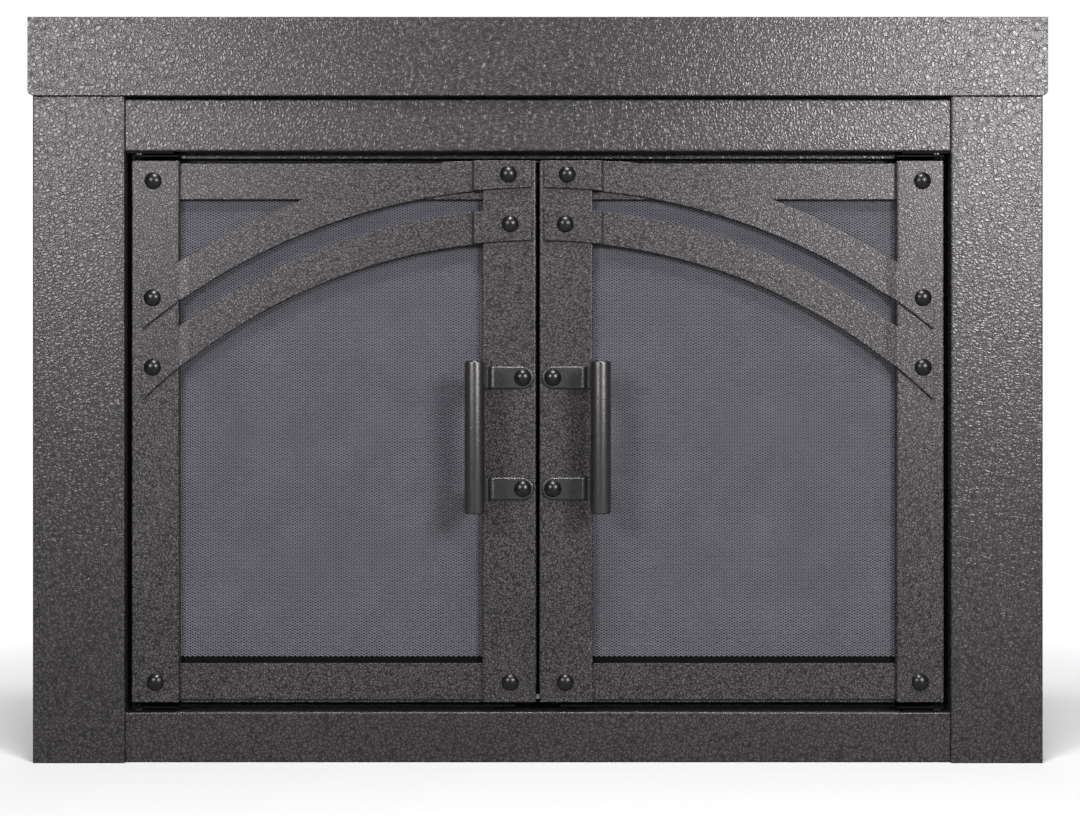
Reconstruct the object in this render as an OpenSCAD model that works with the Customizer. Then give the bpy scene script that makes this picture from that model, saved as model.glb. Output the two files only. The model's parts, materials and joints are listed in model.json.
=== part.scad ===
// Fireplace glass door: a sheet-metal surround with a header, a pair of arched screen doors
// on pivot pins, and behind them a pair of bi-fold glass doors that run in a top track.
// X runs along the opening, the front faces -Y, Z is up from the hearth.
// Every door piece is drawn for the left side and mirrored for the right.

/* [Frame] */
// Width over the header
header_w = 1105; // [1020:5:1200]
// Height over all
overall_h = 809; // [780:1:860]
// Height of the header's face
header_h = 85; // [70:1:100]
// How far the header stands out past the posts, at the front and at each side
header_wrap = 4; // [3:0.5:7]
// Radius of the header's lower corners
header_corner_r = 6; // [3:0.5:10]
// Depth of the lip folded back along the header's lower edge
header_lip = 16; // [10:1:20]
// Width of a post's face
post_w = 100; // [80:1:115]
// Depth of the posts
frame_depth = 50; // [46:1:60]
// Sheet thickness of the frame
frame_sheet = 1.5; // [1.2:0.1:2]
// Outside radius of the folded edges
fold_r = 2.2; // [2:0.1:3]
// Height of the upper rail
upper_rail_h = 57; // [45:1:65]
// Height of the lower rail
lower_rail_h = 55; // [45:1:65]
// How far the two rails lie behind the posts' faces
rail_recess = 3.5; // [2:0.5:5]
// Shadow gap between the header and the upper rail
header_seam = 2.6; // [1:0.1:5]

/* [Screen doors] */
// Gap between a door and its post
door_side_gap = 7; // [6:0.5:10]
// Gap between the two doors
door_centre_gap = 3.8; // [2:0.2:6]
// Gap above the doors
door_top_gap = 10.4; // [9:0.2:14]
// Gap below the doors
door_bottom_gap = 11; // [10:0.2:14]
// How far the doors lie behind the posts' faces
door_recess = 2; // [1:0.5:4]
// Sheet thickness of stiles and door rails
door_sheet = 1.5; // [1.2:0.1:2]
// Depth of the stiles
stile_depth = 14; // [13:0.5:18]
// Width of the stile on the hinge side
outer_stile_w = 51.5; // [46:0.5:60]
// Width of the stile on the handle side
inner_stile_w = 58; // [52:0.5:66]
// Height of the door rails
door_rail_h = 39; // [34:1:46]
// How far the door rails stop short of the stiles' ends
door_rail_inset = 2.1; // [1:0.1:4]
// How far the door rails lie behind the stiles' faces
rail_setback = 5.5; // [4:0.5:6.5]
// Drop of the lip under the bottom rail
rail_lip_drop = 4; // [2:0.5:6]

/* [Arch bars] */
// How far the upper arch's crown would rise above the doors' tops
arch_rise = 6; // [0:0.5:10]
// Outer radius of the upper arch bar
upper_arch_r = 712; // [695:1:720]
// Width of an arch bar
arch_bar_w = 35; // [30:1:40]
// Space between the two arch bars
arch_bar_gap = 22.5; // [12:0.5:30]
// Thickness of an arch bar
arch_bar_t = 3; // [2.5:0.1:3.5]
// Length of the joggle by the outer stile
outer_joggle_l = 9.5; // [7:0.5:14]
// Length of the joggle by the inner stile
inner_joggle_l = 3; // [2.5:0.5:8]
// Distance from the stile's outer edge to the bar's outer end
outer_tab_margin = 12.2; // [8:0.2:14]
// Distance from the door's centre edge to the bar's inner end
inner_tab_margin = 5.5; // [3:0.5:10]
// How far the inner tab reaches past the inner stile
inner_tab_overhang = 9; // [4:0.5:14]

/* [Mesh] */
// Thickness of the mesh panel
mesh_t = 1; // [0.8:0.1:1.5]
// How far the mesh lies in front of the stiles' rear edges
mesh_inset = 3; // [3:0.5:4]
// Open strip between the bottom rail and the mesh's lower edge
mesh_gap_below = 6; // [3:0.5:9]
// Lap of the mesh behind the stiles and the top rail
mesh_lap = 7; // [5:0.5:9]
// Diamond pitch along the long way of the mesh
mesh_long_pitch = 48; // [46:1:60]
// Diamond pitch along the short way of the mesh
mesh_short_pitch = 24; // [23:1:30]
// Width of a strand
strand_w = 3; // [2:0.5:5]
// Width of a strip that clamps the mesh
strip_w = 13; // [11:1:16]
// Thickness of a clamping strip
strip_t = 1.5; // [1:0.1:1.8]

/* [Dome bolts] */
// Radius of a bolt's domed head
bolt_head_r = 9.2; // [7:0.1:10]
// Height of the domed head
bolt_head_h = 5.5; // [4:0.1:6]
// Radius of a bolt's shank
bolt_r = 3; // [2.5:0.1:3.5]
// Width of a nut over its flats
nut_af = 10; // [9:0.5:12]
// Height of a nut
nut_h = 4; // [3:0.5:5]
// Distance from the stile's outer edge to its bolts
outer_bolt_inset = 23.5; // [22:0.5:28]
// How much further in the lowest bolt of the outer stile sits
low_bolt_shift = 2.5; // [0:0.5:4]
// Distance from the door's centre edge to the inner stile's bolts
inner_bolt_inset = 28; // [22:0.5:32]
// How much further out the top bolt of the inner stile sits
top_bolt_shift = 2; // [0:0.5:4]
// How far the upper arch bar's outer bolt sits above the middle of the bar
upper_bolt_rise = 2.5; // [0:0.5:6]
// How far the lower arch bar's bolts sit above the middle of the bar
lower_bolt_rise = 1; // [0:0.5:6]

/* [Handles] */
// Outside radius of the handle tube
tube_r = 10.75; // [9:0.25:13]
// Wall of the handle tube
tube_wall = 2; // [1.5:0.1:3]
// Length of the handle with its caps
handle_l = 162.5; // [140:0.5:200]
// Share of the door's height at which the middle between a handle's two straps lies
handle_height_share = 0.497; // [0.4:0.001:0.6]
// How far the tube's middle hangs below the middle of its straps
handle_drop = 4; // [0:0.5:8]
// Distance from the stile's face to the tube's axis
handle_standoff = 39; // [34:0.5:50]
// Distance from the door's centre edge to the tube's axis
handle_inset = 65; // [60:0.5:75]
// Height of a handle strap
strap_h = 24.3; // [20:0.1:28]
// Thickness of a handle strap
strap_t = 3; // [2:0.1:4]
// Distance between the two straps
strap_pitch = 120.6; // [100:0.1:135]
// Distance from the door's centre edge to the strap's bolt
strap_bolt_inset = 14.5; // [13.5:0.5:20]
// Inside radius of the strap's bend
strap_bend_r = 3; // [2:0.5:5]

/* [Screen hinges] */
// Radius of a hinge pin
pin_r = 3; // [2.5:0.1:3.5]
// Distance from the stile's outer edge to the pin's axis
pin_inset = 7; // [6.5:0.1:8]
// Distance from the stile's face back to the pin's axis
pin_setback = 6; // [5.5:0.1:7]
// Thickness of the hinge plates
hinge_t = 2; // [1.5:0.1:2.5]
// Length of a hinge plate
hinge_l = 51; // [40:1:60]
// Height of the leg that holds a door's hinge plate in the stile
hinge_leg_h = 38; // [25:1:50]
// Radius of a hinge washer
washer_r = 5.5; // [4.5:0.1:6]
// Thickness of a hinge washer
washer_t = 1.5; // [1:0.1:2]

/* [Catch] */
// Width of the catch bracket
catch_w = 50; // [40:1:70]
// Height of the magnet bar
magnet_h = 5; // [4:0.5:8]
// Thickness of the magnet bar
magnet_t = 3; // [2:0.5:3]
// Height of a strike plate
strike_h = 20; // [12:1:30]
// Thickness of a strike plate
strike_t = 1.5; // [1:0.1:1.6]

/* [Glass doors] */
// Thickness of the glass
glass_t = 5; // [4:0.5:6]
// Distance from the posts' faces back to the glass
glass_setback = 33; // [32:0.5:36]
// Gap between the two pairs at the centre
glass_centre_gap = 3; // [2:0.2:6]
// Gap between the two leaves of a pair
fold_gap = 4; // [4:0.2:6]
// Distance from a post to the outer leaf's edge
glass_side_gap = 4.5; // [3:0.5:8]
// How far the pivots and guides stand in from the leaves' ends
pivot_inset = 32; // [30:0.5:34]
// Height of the top track
track_h = 8; // [7:0.5:10]
// Width of the top track
track_w = 14; // [13:0.5:16]
// Sheet thickness of the track
track_sheet = 1.2; // [1:0.1:1.5]
// How far the track's front lip stands forward of its slot
track_lip_reach = 9.5; // [8:0.5:10]
// Drop of the track's front lip below the upper rail
track_lip_h = 5.3; // [4:0.1:7]
// Free height between the track and the glass
glass_top_gap = 10; // [7:0.5:14]
// Free height between the lower rail and the glass
glass_bottom_gap = 9; // [9:0.5:12]
// Radius of the pivot and guide pins
glass_pin_r = 2; // [1.5:0.1:2.5]
// Length of a glass clamp along the glass
clamp_l = 24; // [18:1:30]
// How far a glass clamp grips the glass
clamp_grip = 12; // [8:0.5:16]
// Sheet thickness of clamps and fold hinges
clamp_sheet = 1.5; // [1:0.1:1.8]
// Radius of the guide roller
roller_r = 5; // [4:0.1:5.2]
// Height of a fold hinge
fold_hinge_h = 40; // [30:1:60]
// Distance from the leaves' ends to the fold hinges
fold_hinge_inset = 90; // [60:1:140]
// Radius of a fold hinge's knuckle
knuckle_r = 3.2; // [3:0.1:3.3]
// Radius of a fold hinge's pin
fold_pin_r = 1.6; // [1.2:0.1:1.8]
// Radius of a glass door's knob
knob_r = 11; // [8:0.5:12]
// Height of a glass door's knob
knob_h = 12; // [9:0.5:13]
// Distance from the centre gap to a knob's axis
knob_inset = 29; // [24:0.5:40]

/* [Brackets] */
// Sheet thickness of the brackets
bracket_t = 2.5; // [2:0.1:3]
// Length of a corner bracket's legs
bracket_leg = 34; // [28:1:40]
// Distance of the hearth anchor holes behind the posts
anchor_setback = 20; // [15:1:30]
// Radius of the hearth anchor holes
anchor_r = 4.5; // [3:0.5:5]
// Height of a floor bracket
floor_bracket_h = 60; // [40:1:80]
// Width of a floor bracket's foot
floor_bracket_w = 40; // [30:1:50]
// Distance from the middle to a lintel clamp
clamp_arm_x = 300; // [200:5:350]
// Width of a lintel clamp
clamp_arm_w = 32; // [25:1:40]
// How far a lintel clamp reaches behind the posts
clamp_reach = 48; // [40:1:60]
// Radius of the clamp screws
clamp_screw_r = 4; // [3:0.5:5]
// Length of a clamp screw
clamp_screw_l = 50; // [40:1:70]

/* [Hidden] */

// Facets of round parts and of the large arcs
round_fn = 48;
arc_fn = 360;
hex_fn = 6;
// Overrun of every cut
cut = 1;
// Clearance round a screw or bolt, on the radius
hole_clear = 0.2;
// Clearance of a pin in its bore, on the radius
pin_clear = 0.05;
// Gap between pieces that move past each other or are only set side by side
part_gap = 0.3;

// Colours of the finishes
hammered = [0.36, 0.35, 0.36];
speckled = [0.33, 0.32, 0.33];
blackened = [0.10, 0.10, 0.10];
bolt_black = [0.16, 0.16, 0.16];
mesh_grey = [0.42, 0.41, 0.44];
zinc = [0.66, 0.67, 0.69];
smoked = [0.10, 0.11, 0.12, 0.6];

// Places of the frame
front_y = -frame_depth / 2;
rear_y = frame_depth / 2;
post_out = header_w / 2 - header_wrap;
post_in = post_out - post_w;
header_z = overall_h - header_h;
header_y = front_y - header_wrap;
post_h = overall_h - frame_sheet;
frame_rail_y = front_y + rail_recess;
frame_rail_d = frame_depth - 2 * rail_recess;
upper_rail_top = header_z - header_seam;
upper_rail_z = upper_rail_top - upper_rail_h;

// Places of the screen doors, measured on the left door as distances from the middle
door_out = post_in - door_side_gap;
door_in = door_centre_gap / 2;
door_z0 = lower_rail_h + door_bottom_gap;
door_z1 = upper_rail_z - door_top_gap;
door_h = door_z1 - door_z0;
stile_y = front_y + door_recess;
stile_rear = stile_y + stile_depth;
win_out = door_out - outer_stile_w;
win_in = door_in + inner_stile_w;
mesh_y = stile_rear - mesh_inset;
rail_y = stile_y + rail_setback;
bottom_rail_z = door_z0 + door_rail_inset;
top_rail_z = door_z1 - door_rail_inset - door_rail_h;
// Play of a door rail in the stile's notch
notch_gap = 0.5;
// Run of the joggle that brings a door rail's end against the stile's face
rail_joggle_l = 6;
// Depth to which a door rail enters the stile before its joggle
rail_entry = 2.5;

// Places of the dome bolts on the left door
outer_bolt_x = door_out - outer_bolt_inset;
low_bolt_x = outer_bolt_x - low_bolt_shift;
inner_bolt_x = door_in + inner_bolt_inset;
strap_bolt_x = door_in + strap_bolt_inset;
upper_mid_r = upper_arch_r - arch_bar_w / 2;
lower_arch_r = upper_arch_r - arch_bar_w - arch_bar_gap;
lower_mid_r = lower_arch_r - arch_bar_w / 2;
// Height of the arches' common centre, which lies below the hearth
arch_centre_z = door_z1 + arch_rise - upper_arch_r;
function arch_z(r, x) = sqrt(r * r - x * x) + arch_centre_z;
corner_bolt_z = top_rail_z + door_rail_h / 2;
low_bolt_z = bottom_rail_z + door_rail_h / 2;
handle_z = door_z0 + (door_z1 - door_z0) * handle_height_share;
upper_strap_z = handle_z + strap_pitch / 2;
lower_strap_z = handle_z - strap_pitch / 2;
// Share of the upper bar's visible height at which its clipped inner tab is bolted
clipped_tab_share = 0.5;
clipped_bolt_x = inner_bolt_x + top_bolt_shift;
clipped_low_z = arch_z(upper_arch_r - arch_bar_w, clipped_bolt_x);
clipped_bolt_z = clipped_low_z + (door_z1 - clipped_low_z) * clipped_tab_share;
// Each bolt: distance from the middle, height, what it clamps before the stile and behind its sheet
dome_bolts = [
    [outer_bolt_x, corner_bolt_z, 0, door_sheet],
    [low_bolt_x, low_bolt_z, 0, door_sheet],
    [outer_bolt_x, arch_z(upper_mid_r, outer_bolt_x) + upper_bolt_rise, arch_bar_t, 0],
    [outer_bolt_x, arch_z(lower_mid_r, outer_bolt_x) + lower_bolt_rise, arch_bar_t, 0],
    [clipped_bolt_x, clipped_bolt_z, arch_bar_t, door_sheet],
    [inner_bolt_x, arch_z(lower_mid_r, inner_bolt_x) + lower_bolt_rise, arch_bar_t, 0],
    [inner_bolt_x, low_bolt_z, 0, door_sheet],
    [strap_bolt_x, upper_strap_z, strap_t, 0],
    [strap_bolt_x, lower_strap_z, strap_t, 0]
];

// Places of the screen hinges
pin_x = door_out - pin_inset;
pin_y = stile_y + pin_setback;
hinge_tab_gap = washer_t + part_gap;
hinge_tab_front = stile_y + door_sheet;
// Room left between a hinge tab and the stile's rear edge
hinge_tab_rear_room = 1;
hinge_tab_rear = stile_rear - hinge_tab_rear_room;
// How far a pin reaches past the door's hinge tab
pin_reach = 2.5;
// Room from the post to the frame's hinge plate
plate_side_gap = 1;
// Depth of the frame's hinge plate behind the door's pin
plate_back = 8;

// Places of the glass doors
glass_y = front_y + glass_setback;
glass_mid_y = glass_y + glass_t / 2;
glass_rear = glass_y + glass_t;
glass_z0 = lower_rail_h + glass_bottom_gap;
glass_z1 = upper_rail_z - track_h - glass_top_gap;
glass_out = post_in - glass_side_gap;
glass_in = glass_centre_gap / 2;
fold_x = (glass_out + glass_in) / 2;
pivot_x = glass_out - pivot_inset;
guide_x = glass_in + pivot_inset;
// Distance from the glass to the fold's axis
knuckle_standoff = clamp_sheet + knuckle_r + hole_clear * 2;
fold_y = glass_rear + knuckle_standoff;

// Small sizes of the glass fittings
fold_leaf_l = 22;
// Share of a fold hinge's height that is the middle knuckle
middle_knuckle_share = 0.5;
socket_w = 20;
socket_h = 6.5;
foot_socket_d = 18;
track_end_gap = 2;
knob_stem_r = 4;
knob_base_h = 3;
knob_screw_r = 2.5;
knob_washer_r = 8;
knob_washer_t = 2;

// Frame screws
screw_r = 2.4;
screw_head_r = 4.2;
screw_head_h = 2.6;
screw_tip = 1;
// Share of a bracket's height from its edge to each screw
screw_share = 0.22;

// Brackets
bracket_end_gap = 3;
header_bracket_h = 45;
corner_bracket_d = 36;
anchor_lap = 35;

module left() {
    children();
}

module right() {
    mirror([1, 0, 0]) children();
}

module both() {
    left() children();
    right() children();
}

// A box from its two opposite corners
module block(a, b) {
    translate(a) cube(b - a);
}

// A round bar or bore along Z from height z0 to z1
module upright(x, y, r, z0, z1) {
    translate([x, y, z0]) cylinder(h = z1 - z0, r = r, $fn = round_fn);
}

// A round bar or bore along Y from depth y0 to y1
module through(x, z, r, y0, y1) {
    translate([x, y0, z]) rotate([-90, 0, 0]) cylinder(h = y1 - y0, r = r, $fn = round_fn);
}

// A rectangle whose two lower corners are rounded
module fold_2d(w, d, r) {
    translate([0, r]) square([w, d - r]);
    translate([r, 0]) square([w - 2 * r, r]);
    translate([r, r]) circle(r, $fn = round_fn);
    translate([w - r, r]) circle(r, $fn = round_fn);
}

// A folded sheet channel seen from its end: face down, flanges up
module channel_2d(w, d, t) {
    difference() {
        fold_2d(w, d, fold_r);
        translate([t, t]) fold_2d(w - 2 * t, d - t + cut, fold_r - t);
    }
}

// A joggled strip seen from above: its outer end, main run and inner end, front line first.
// Both joggles shift the rear line towards the ends so that the strip keeps its thickness.
function joggle_shift(step, run, t) = t * tan(atan(step / run) / 2);
module joggled_2d(x_end, x_out, run_out, x_in, run_in, x_tip, tab_y, main_y, t) {
    step = main_y - tab_y;
    so = joggle_shift(step, run_out, t);
    si = joggle_shift(step, run_in, t);
    polygon([
        [-x_end, tab_y], [-x_out, tab_y], [-x_out + run_out, main_y],
        [-x_in - run_in, main_y], [-x_in, tab_y], [-x_tip, tab_y],
        [-x_tip, tab_y + t], [-x_in + si, tab_y + t], [-x_in - run_in + si, main_y + t],
        [-x_out + run_out - so, main_y + t], [-x_out - so, tab_y + t], [-x_end, tab_y + t]
    ]);
}

// The header: an open-backed cap with closed ends and a lip between the posts
module header_shell() {
    difference() {
        translate([-header_w / 2, rear_y, header_z])
            rotate([90, 0, 0])
            linear_extrude(height = rear_y - header_y)
            fold_2d(header_w, header_h, header_corner_r);
        block(
            [-header_w / 2 + frame_sheet, header_y + frame_sheet, header_z - cut],
            [header_w / 2 - frame_sheet, rear_y + cut, overall_h - frame_sheet]
        );
    }
}

module header_cap() {
    color(hammered) {
        header_shell();
        block(
            [-post_in + part_gap, header_y, header_z],
            [post_in - part_gap, header_y + header_lip, header_z + frame_sheet]
        );
    }
}

// A post: an open-backed channel that stands on the hearth and ends under the header's top
module post_blank() {
    difference() {
        translate([-post_out, front_y, 0])
            linear_extrude(height = post_h)
            channel_2d(post_w, frame_depth, frame_sheet);
        frame_screw_holes();
    }
}

module left_post() {
    color(hammered) left() post_blank();
}

module right_post() {
    color(hammered) right() post_blank();
}

// A frame rail: the same channel laid along the opening
module frame_rail(z, h) {
    translate([-post_in, frame_rail_y, z])
        rotate([0, 90, 0])
        mirror([1, 0, 0])
        linear_extrude(height = 2 * post_in)
        channel_2d(h, frame_rail_d, frame_sheet);
}

module upper_rail() {
    color(hammered) difference() {
        frame_rail(upper_rail_z, upper_rail_h);
        clamp_screw_cuts();
    }
}

module lower_rail() {
    color(hammered) frame_rail(0, lower_rail_h);
}

// Corner brackets: one leg on the post's inner flange, one on the rail's face, inside the rail
module corner_bracket(z, h) {
    z0 = z + frame_sheet + bracket_end_gap;
    z1 = z + h - frame_sheet - bracket_end_gap;
    y0 = frame_rail_y + frame_sheet;
    difference() {
        union() {
            block([-post_in, y0, z0], [-post_in + bracket_t, y0 + corner_bracket_d, z1]);
            block([-post_in, y0, z0], [-post_in + bracket_leg, y0 + bracket_t, z1]);
        }
        frame_screw_holes();
    }
}

module corner_brackets() {
    color(blackened) both() {
        corner_bracket(0, lower_rail_h);
        corner_bracket(upper_rail_z, upper_rail_h);
    }
}

// Header brackets: one leg on the post's outer flange, one under the header's top
module header_bracket() {
    x0 = -post_out + frame_sheet;
    y0 = front_y + fold_r + bracket_end_gap;
    z1 = overall_h - frame_sheet;
    difference() {
        union() {
            block([x0, y0, z1 - header_bracket_h], [x0 + bracket_t, y0 + corner_bracket_d, z1]);
            block([x0, y0, z1 - bracket_t], [x0 + bracket_leg, y0 + corner_bracket_d, z1]);
        }
        frame_screw_holes();
    }
}

module header_brackets() {
    color(blackened) both() header_bracket();
}

// Frame screws: each joins a bracket to a post's flange
rail_screw_y = frame_rail_y + frame_sheet + corner_bracket_d * (1 - screw_share);
header_screw_y = front_y + fold_r + bracket_end_gap + corner_bracket_d / 2;
lower_bracket_zs = [
    lower_rail_h * screw_share + frame_sheet,
    lower_rail_h * (1 - screw_share) - frame_sheet
];
upper_bracket_zs = [
    upper_rail_z + upper_rail_h * screw_share + frame_sheet,
    upper_rail_z + upper_rail_h * (1 - screw_share) - frame_sheet
];
header_bracket_zs = [
    overall_h - header_bracket_h * (1 - screw_share),
    overall_h - header_bracket_h * 2 * screw_share
];
floor_bracket_zs = [floor_bracket_h * (1 - screw_share), floor_bracket_h * 2 * screw_share];
floor_screw_y = rear_y - anchor_lap / 2;

// One pan head screw whose head bears at x on the clamped pair and whose tip is on the -X side
module side_screw(x, y, z, grip) {
    translate([x, y, z]) rotate([0, 90, 0]) {
        cylinder(h = screw_head_h, r = screw_head_r, $fn = round_fn);
        translate([0, 0, -grip - screw_tip])
            cylinder(h = grip + screw_tip + screw_head_h, r = screw_r, $fn = round_fn);
    }
}

module side_screw_hole(x, y, z, grip) {
    translate([x, y, z]) rotate([0, 90, 0]) translate([0, 0, -grip - cut])
        cylinder(h = grip + 2 * cut, r = screw_r + hole_clear, $fn = round_fn);
}

module each_frame_screw() {
    grip = frame_sheet + bracket_t;
    for (z = concat(lower_bracket_zs, upper_bracket_zs))
        translate([-post_in + bracket_t, rail_screw_y, z]) children();
    for (z = header_bracket_zs)
        translate([-post_out + grip, header_screw_y, z]) children();
    for (z = floor_bracket_zs)
        translate([-post_in - frame_sheet, floor_screw_y, z]) mirror([1, 0, 0])
        translate([bracket_t, 0, 0]) children();
}

module frame_screw_holes() {
    grip = frame_sheet + bracket_t;
    each_frame_screw() side_screw_hole(0, 0, 0, grip);
}

module frame_screws() {
    grip = frame_sheet + bracket_t;
    color(zinc) both() each_frame_screw() side_screw(0, 0, 0, grip);
}

// Floor brackets: an angle on the inner side of the post's flange, its foot on the hearth
module floor_bracket() {
    x1 = -post_in - frame_sheet;
    y0 = rear_y - anchor_lap;
    y1 = rear_y + 2 * anchor_setback;
    difference() {
        union() {
            block([x1 - bracket_t, y0, 0], [x1, y1, floor_bracket_h]);
            block([x1 - floor_bracket_w, y0, 0], [x1, y1, bracket_t]);
        }
        upright(anchor_x, rear_y + anchor_setback, anchor_r, -cut, bracket_t + cut);
        frame_screw_holes();
        corner_slope(x1, y1);
    }
}

// Sloped rear corner of a floor bracket's upright leg
module corner_slope(x1, y1) {
    run = 2 * anchor_setback - bracket_end_gap;
    rise = floor_bracket_h - 2 * bracket_end_gap;
    translate([x1 + cut, y1, floor_bracket_h])
        rotate([0, -90, 0])
        linear_extrude(height = bracket_t + 2 * cut)
        polygon([[0, -run], [cut, -run], [cut, cut], [-rise, cut], [-rise, 0]]);
}

anchor_x = -post_in - frame_sheet - (floor_bracket_w + bracket_t) / 2;

module floor_brackets() {
    color(blackened) both() floor_bracket();
}

// Lintel clamps: an arm on the upper rail's top flange that reaches back under the lintel
clamp_arm_z = upper_rail_top;
clamp_front_y = frame_rail_y + frame_sheet + bracket_end_gap;
clamp_rear_y = rear_y + clamp_reach;
clamp_screw_y = clamp_rear_y - clamp_arm_w / 2;
clamp_head_h = 6;
clamp_nut_h = 6;
clamp_pad_r = 9;
clamp_pad_h = 3;
// How far a clamp screw's pad stands above the arm
clamp_pad_rise = 20;
arm_screw_y = frame_rail_y + frame_rail_d / 2;

module lintel_clamp() {
    difference() {
        union() {
            block(
                [-clamp_arm_x - clamp_arm_w / 2, clamp_front_y, clamp_arm_z],
                [-clamp_arm_x + clamp_arm_w / 2, clamp_screw_y, clamp_arm_z + bracket_t]
            );
            upright(
                -clamp_arm_x, clamp_screw_y, clamp_arm_w / 2,
                clamp_arm_z, clamp_arm_z + bracket_t
            );
        }
        upright(
            -clamp_arm_x, clamp_screw_y, clamp_screw_r + hole_clear,
            clamp_arm_z - cut, clamp_arm_z + bracket_t + cut
        );
        clamp_screw_cuts();
    }
}

module clamp_screw_cuts() {
    both() upright(
        -clamp_arm_x, arm_screw_y, screw_r + hole_clear,
        clamp_arm_z - frame_sheet - cut, clamp_arm_z + bracket_t + cut
    );
}

module lintel_clamps() {
    color(blackened) both() lintel_clamp();
}

// Clamp screws: a screw with a pad that is driven up against the lintel through a nut under
// the arm, and the arm's own screw
module clamp_screw() {
    z0 = clamp_arm_z + bracket_t;
    pad_z = z0 + clamp_pad_rise;
    translate([-clamp_arm_x, clamp_screw_y, pad_z]) {
        cylinder(h = clamp_pad_h, r = clamp_pad_r, $fn = round_fn);
        translate([0, 0, -clamp_screw_l])
            cylinder(h = clamp_screw_l, r = clamp_screw_r, $fn = round_fn);
        translate([0, 0, -clamp_screw_l])
            cylinder(h = clamp_head_h, r = clamp_screw_r * 2, $fn = hex_fn);
    }
    difference() {
        translate([-clamp_arm_x, clamp_screw_y, clamp_arm_z - clamp_nut_h])
            cylinder(h = clamp_nut_h, r = clamp_screw_r * 2, $fn = hex_fn);
        upright(
            -clamp_arm_x, clamp_screw_y, clamp_screw_r + hole_clear,
            clamp_arm_z - clamp_nut_h - cut, clamp_arm_z + cut
        );
    }
    translate([-clamp_arm_x, arm_screw_y, z0]) {
        cylinder(h = screw_head_h, r = screw_head_r, $fn = round_fn);
        translate([0, 0, -bracket_t - frame_sheet - screw_tip])
            cylinder(
                h = bracket_t + frame_sheet + screw_tip + screw_head_h, r = screw_r,
                $fn = round_fn
            );
    }
}

module clamp_screws() {
    color(zinc) both() clamp_screw();
}

// Frame hinge plates: a plate on the rail with the pin standing on it
module frame_hinge_plate(z, up) {
    x0 = -post_in + plate_side_gap;
    reach = hinge_t + hinge_tab_gap + hinge_t + pin_reach;
    z0 = up > 0 ? z : z - hinge_t;
    block([x0, hinge_tab_front, z0], [x0 + hinge_l, pin_y + plate_back, z0 + hinge_t]);
    if (up > 0)
        upright(-pin_x, pin_y, pin_r, z, z + reach);
    else
        upright(-pin_x, pin_y, pin_r, z - reach, z);
}

module frame_hinge_plates() {
    color(blackened) both() {
        frame_hinge_plate(lower_rail_h, 1);
        frame_hinge_plate(upper_rail_z, -1);
    }
}

// Washers between the frame's plates and the doors' hinge tabs
module hinge_washer(z) {
    difference() {
        upright(-pin_x, pin_y, washer_r, z, z + washer_t);
        upright(-pin_x, pin_y, pin_r + pin_clear, z - cut, z + washer_t + cut);
    }
}

module hinge_washers() {
    color(zinc) both() {
        hinge_washer(lower_rail_h + hinge_t);
        hinge_washer(upper_rail_z - hinge_t - washer_t);
    }
}

// Door hinge tabs: a level plate with the pin's bore, held by a leg inside the outer stile
module hinge_tab(z, up) {
    x0 = -door_out + door_sheet;
    z0 = up > 0 ? z : z - hinge_t;
    leg_z0 = up > 0 ? z : z - hinge_leg_h;
    // The leg starts clear of the fold inside the stile
    leg_y0 = hinge_tab_front + fold_r - door_sheet;
    difference() {
        union() {
            block(
                [-door_out, hinge_tab_front, z0],
                [-door_out + hinge_l, hinge_tab_rear, z0 + hinge_t]
            );
            block([x0, leg_y0, leg_z0], [x0 + hinge_t, hinge_tab_rear, leg_z0 + hinge_leg_h]);
        }
        upright(-pin_x, pin_y, pin_r + pin_clear, z0 - cut, z0 + hinge_t + cut);
    }
}

module hinge_tabs() {
    hinge_tab(lower_rail_h + hinge_t + hinge_tab_gap, 1);
    hinge_tab(upper_rail_z - hinge_t - hinge_tab_gap, -1);
}

module left_hinge_tabs() {
    color(blackened) left() hinge_tabs();
}

module right_hinge_tabs() {
    color(blackened) right() hinge_tabs();
}

// Screen door stiles: folded channels, notched where the door rails enter
module rail_notch(x0, x1, z) {
    block(
        [x0, rail_y - notch_gap, z - notch_gap],
        [x1, stile_rear + cut, z + door_rail_h + notch_gap]
    );
}

module stile(x0, w, flange_x0, flange_x1) {
    difference() {
        translate([x0, stile_y, door_z0])
            linear_extrude(height = door_h)
            channel_2d(w, stile_depth, door_sheet);
        // The flange on the mesh side stops at the mesh
        block([flange_x0, mesh_y, door_z0 - cut], [flange_x1, stile_rear + cut, door_z1 + cut]);
        for (z = [bottom_rail_z, top_rail_z]) rail_notch(flange_x0, flange_x1, z);
        dome_bolt_holes();
    }
}

module outer_stile() {
    stile(-door_out, outer_stile_w, -win_out - 2 * door_sheet, -win_out + cut);
}

module inner_stile() {
    stile(-win_in, inner_stile_w, -win_in - cut, -win_in + 2 * door_sheet);
}

module left_outer_stile() {
    color(speckled) left() outer_stile();
}

module right_outer_stile() {
    color(speckled) right() outer_stile();
}

module left_inner_stile() {
    color(speckled) left() inner_stile();
}

module right_inner_stile() {
    color(speckled) right() inner_stile();
}

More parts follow.
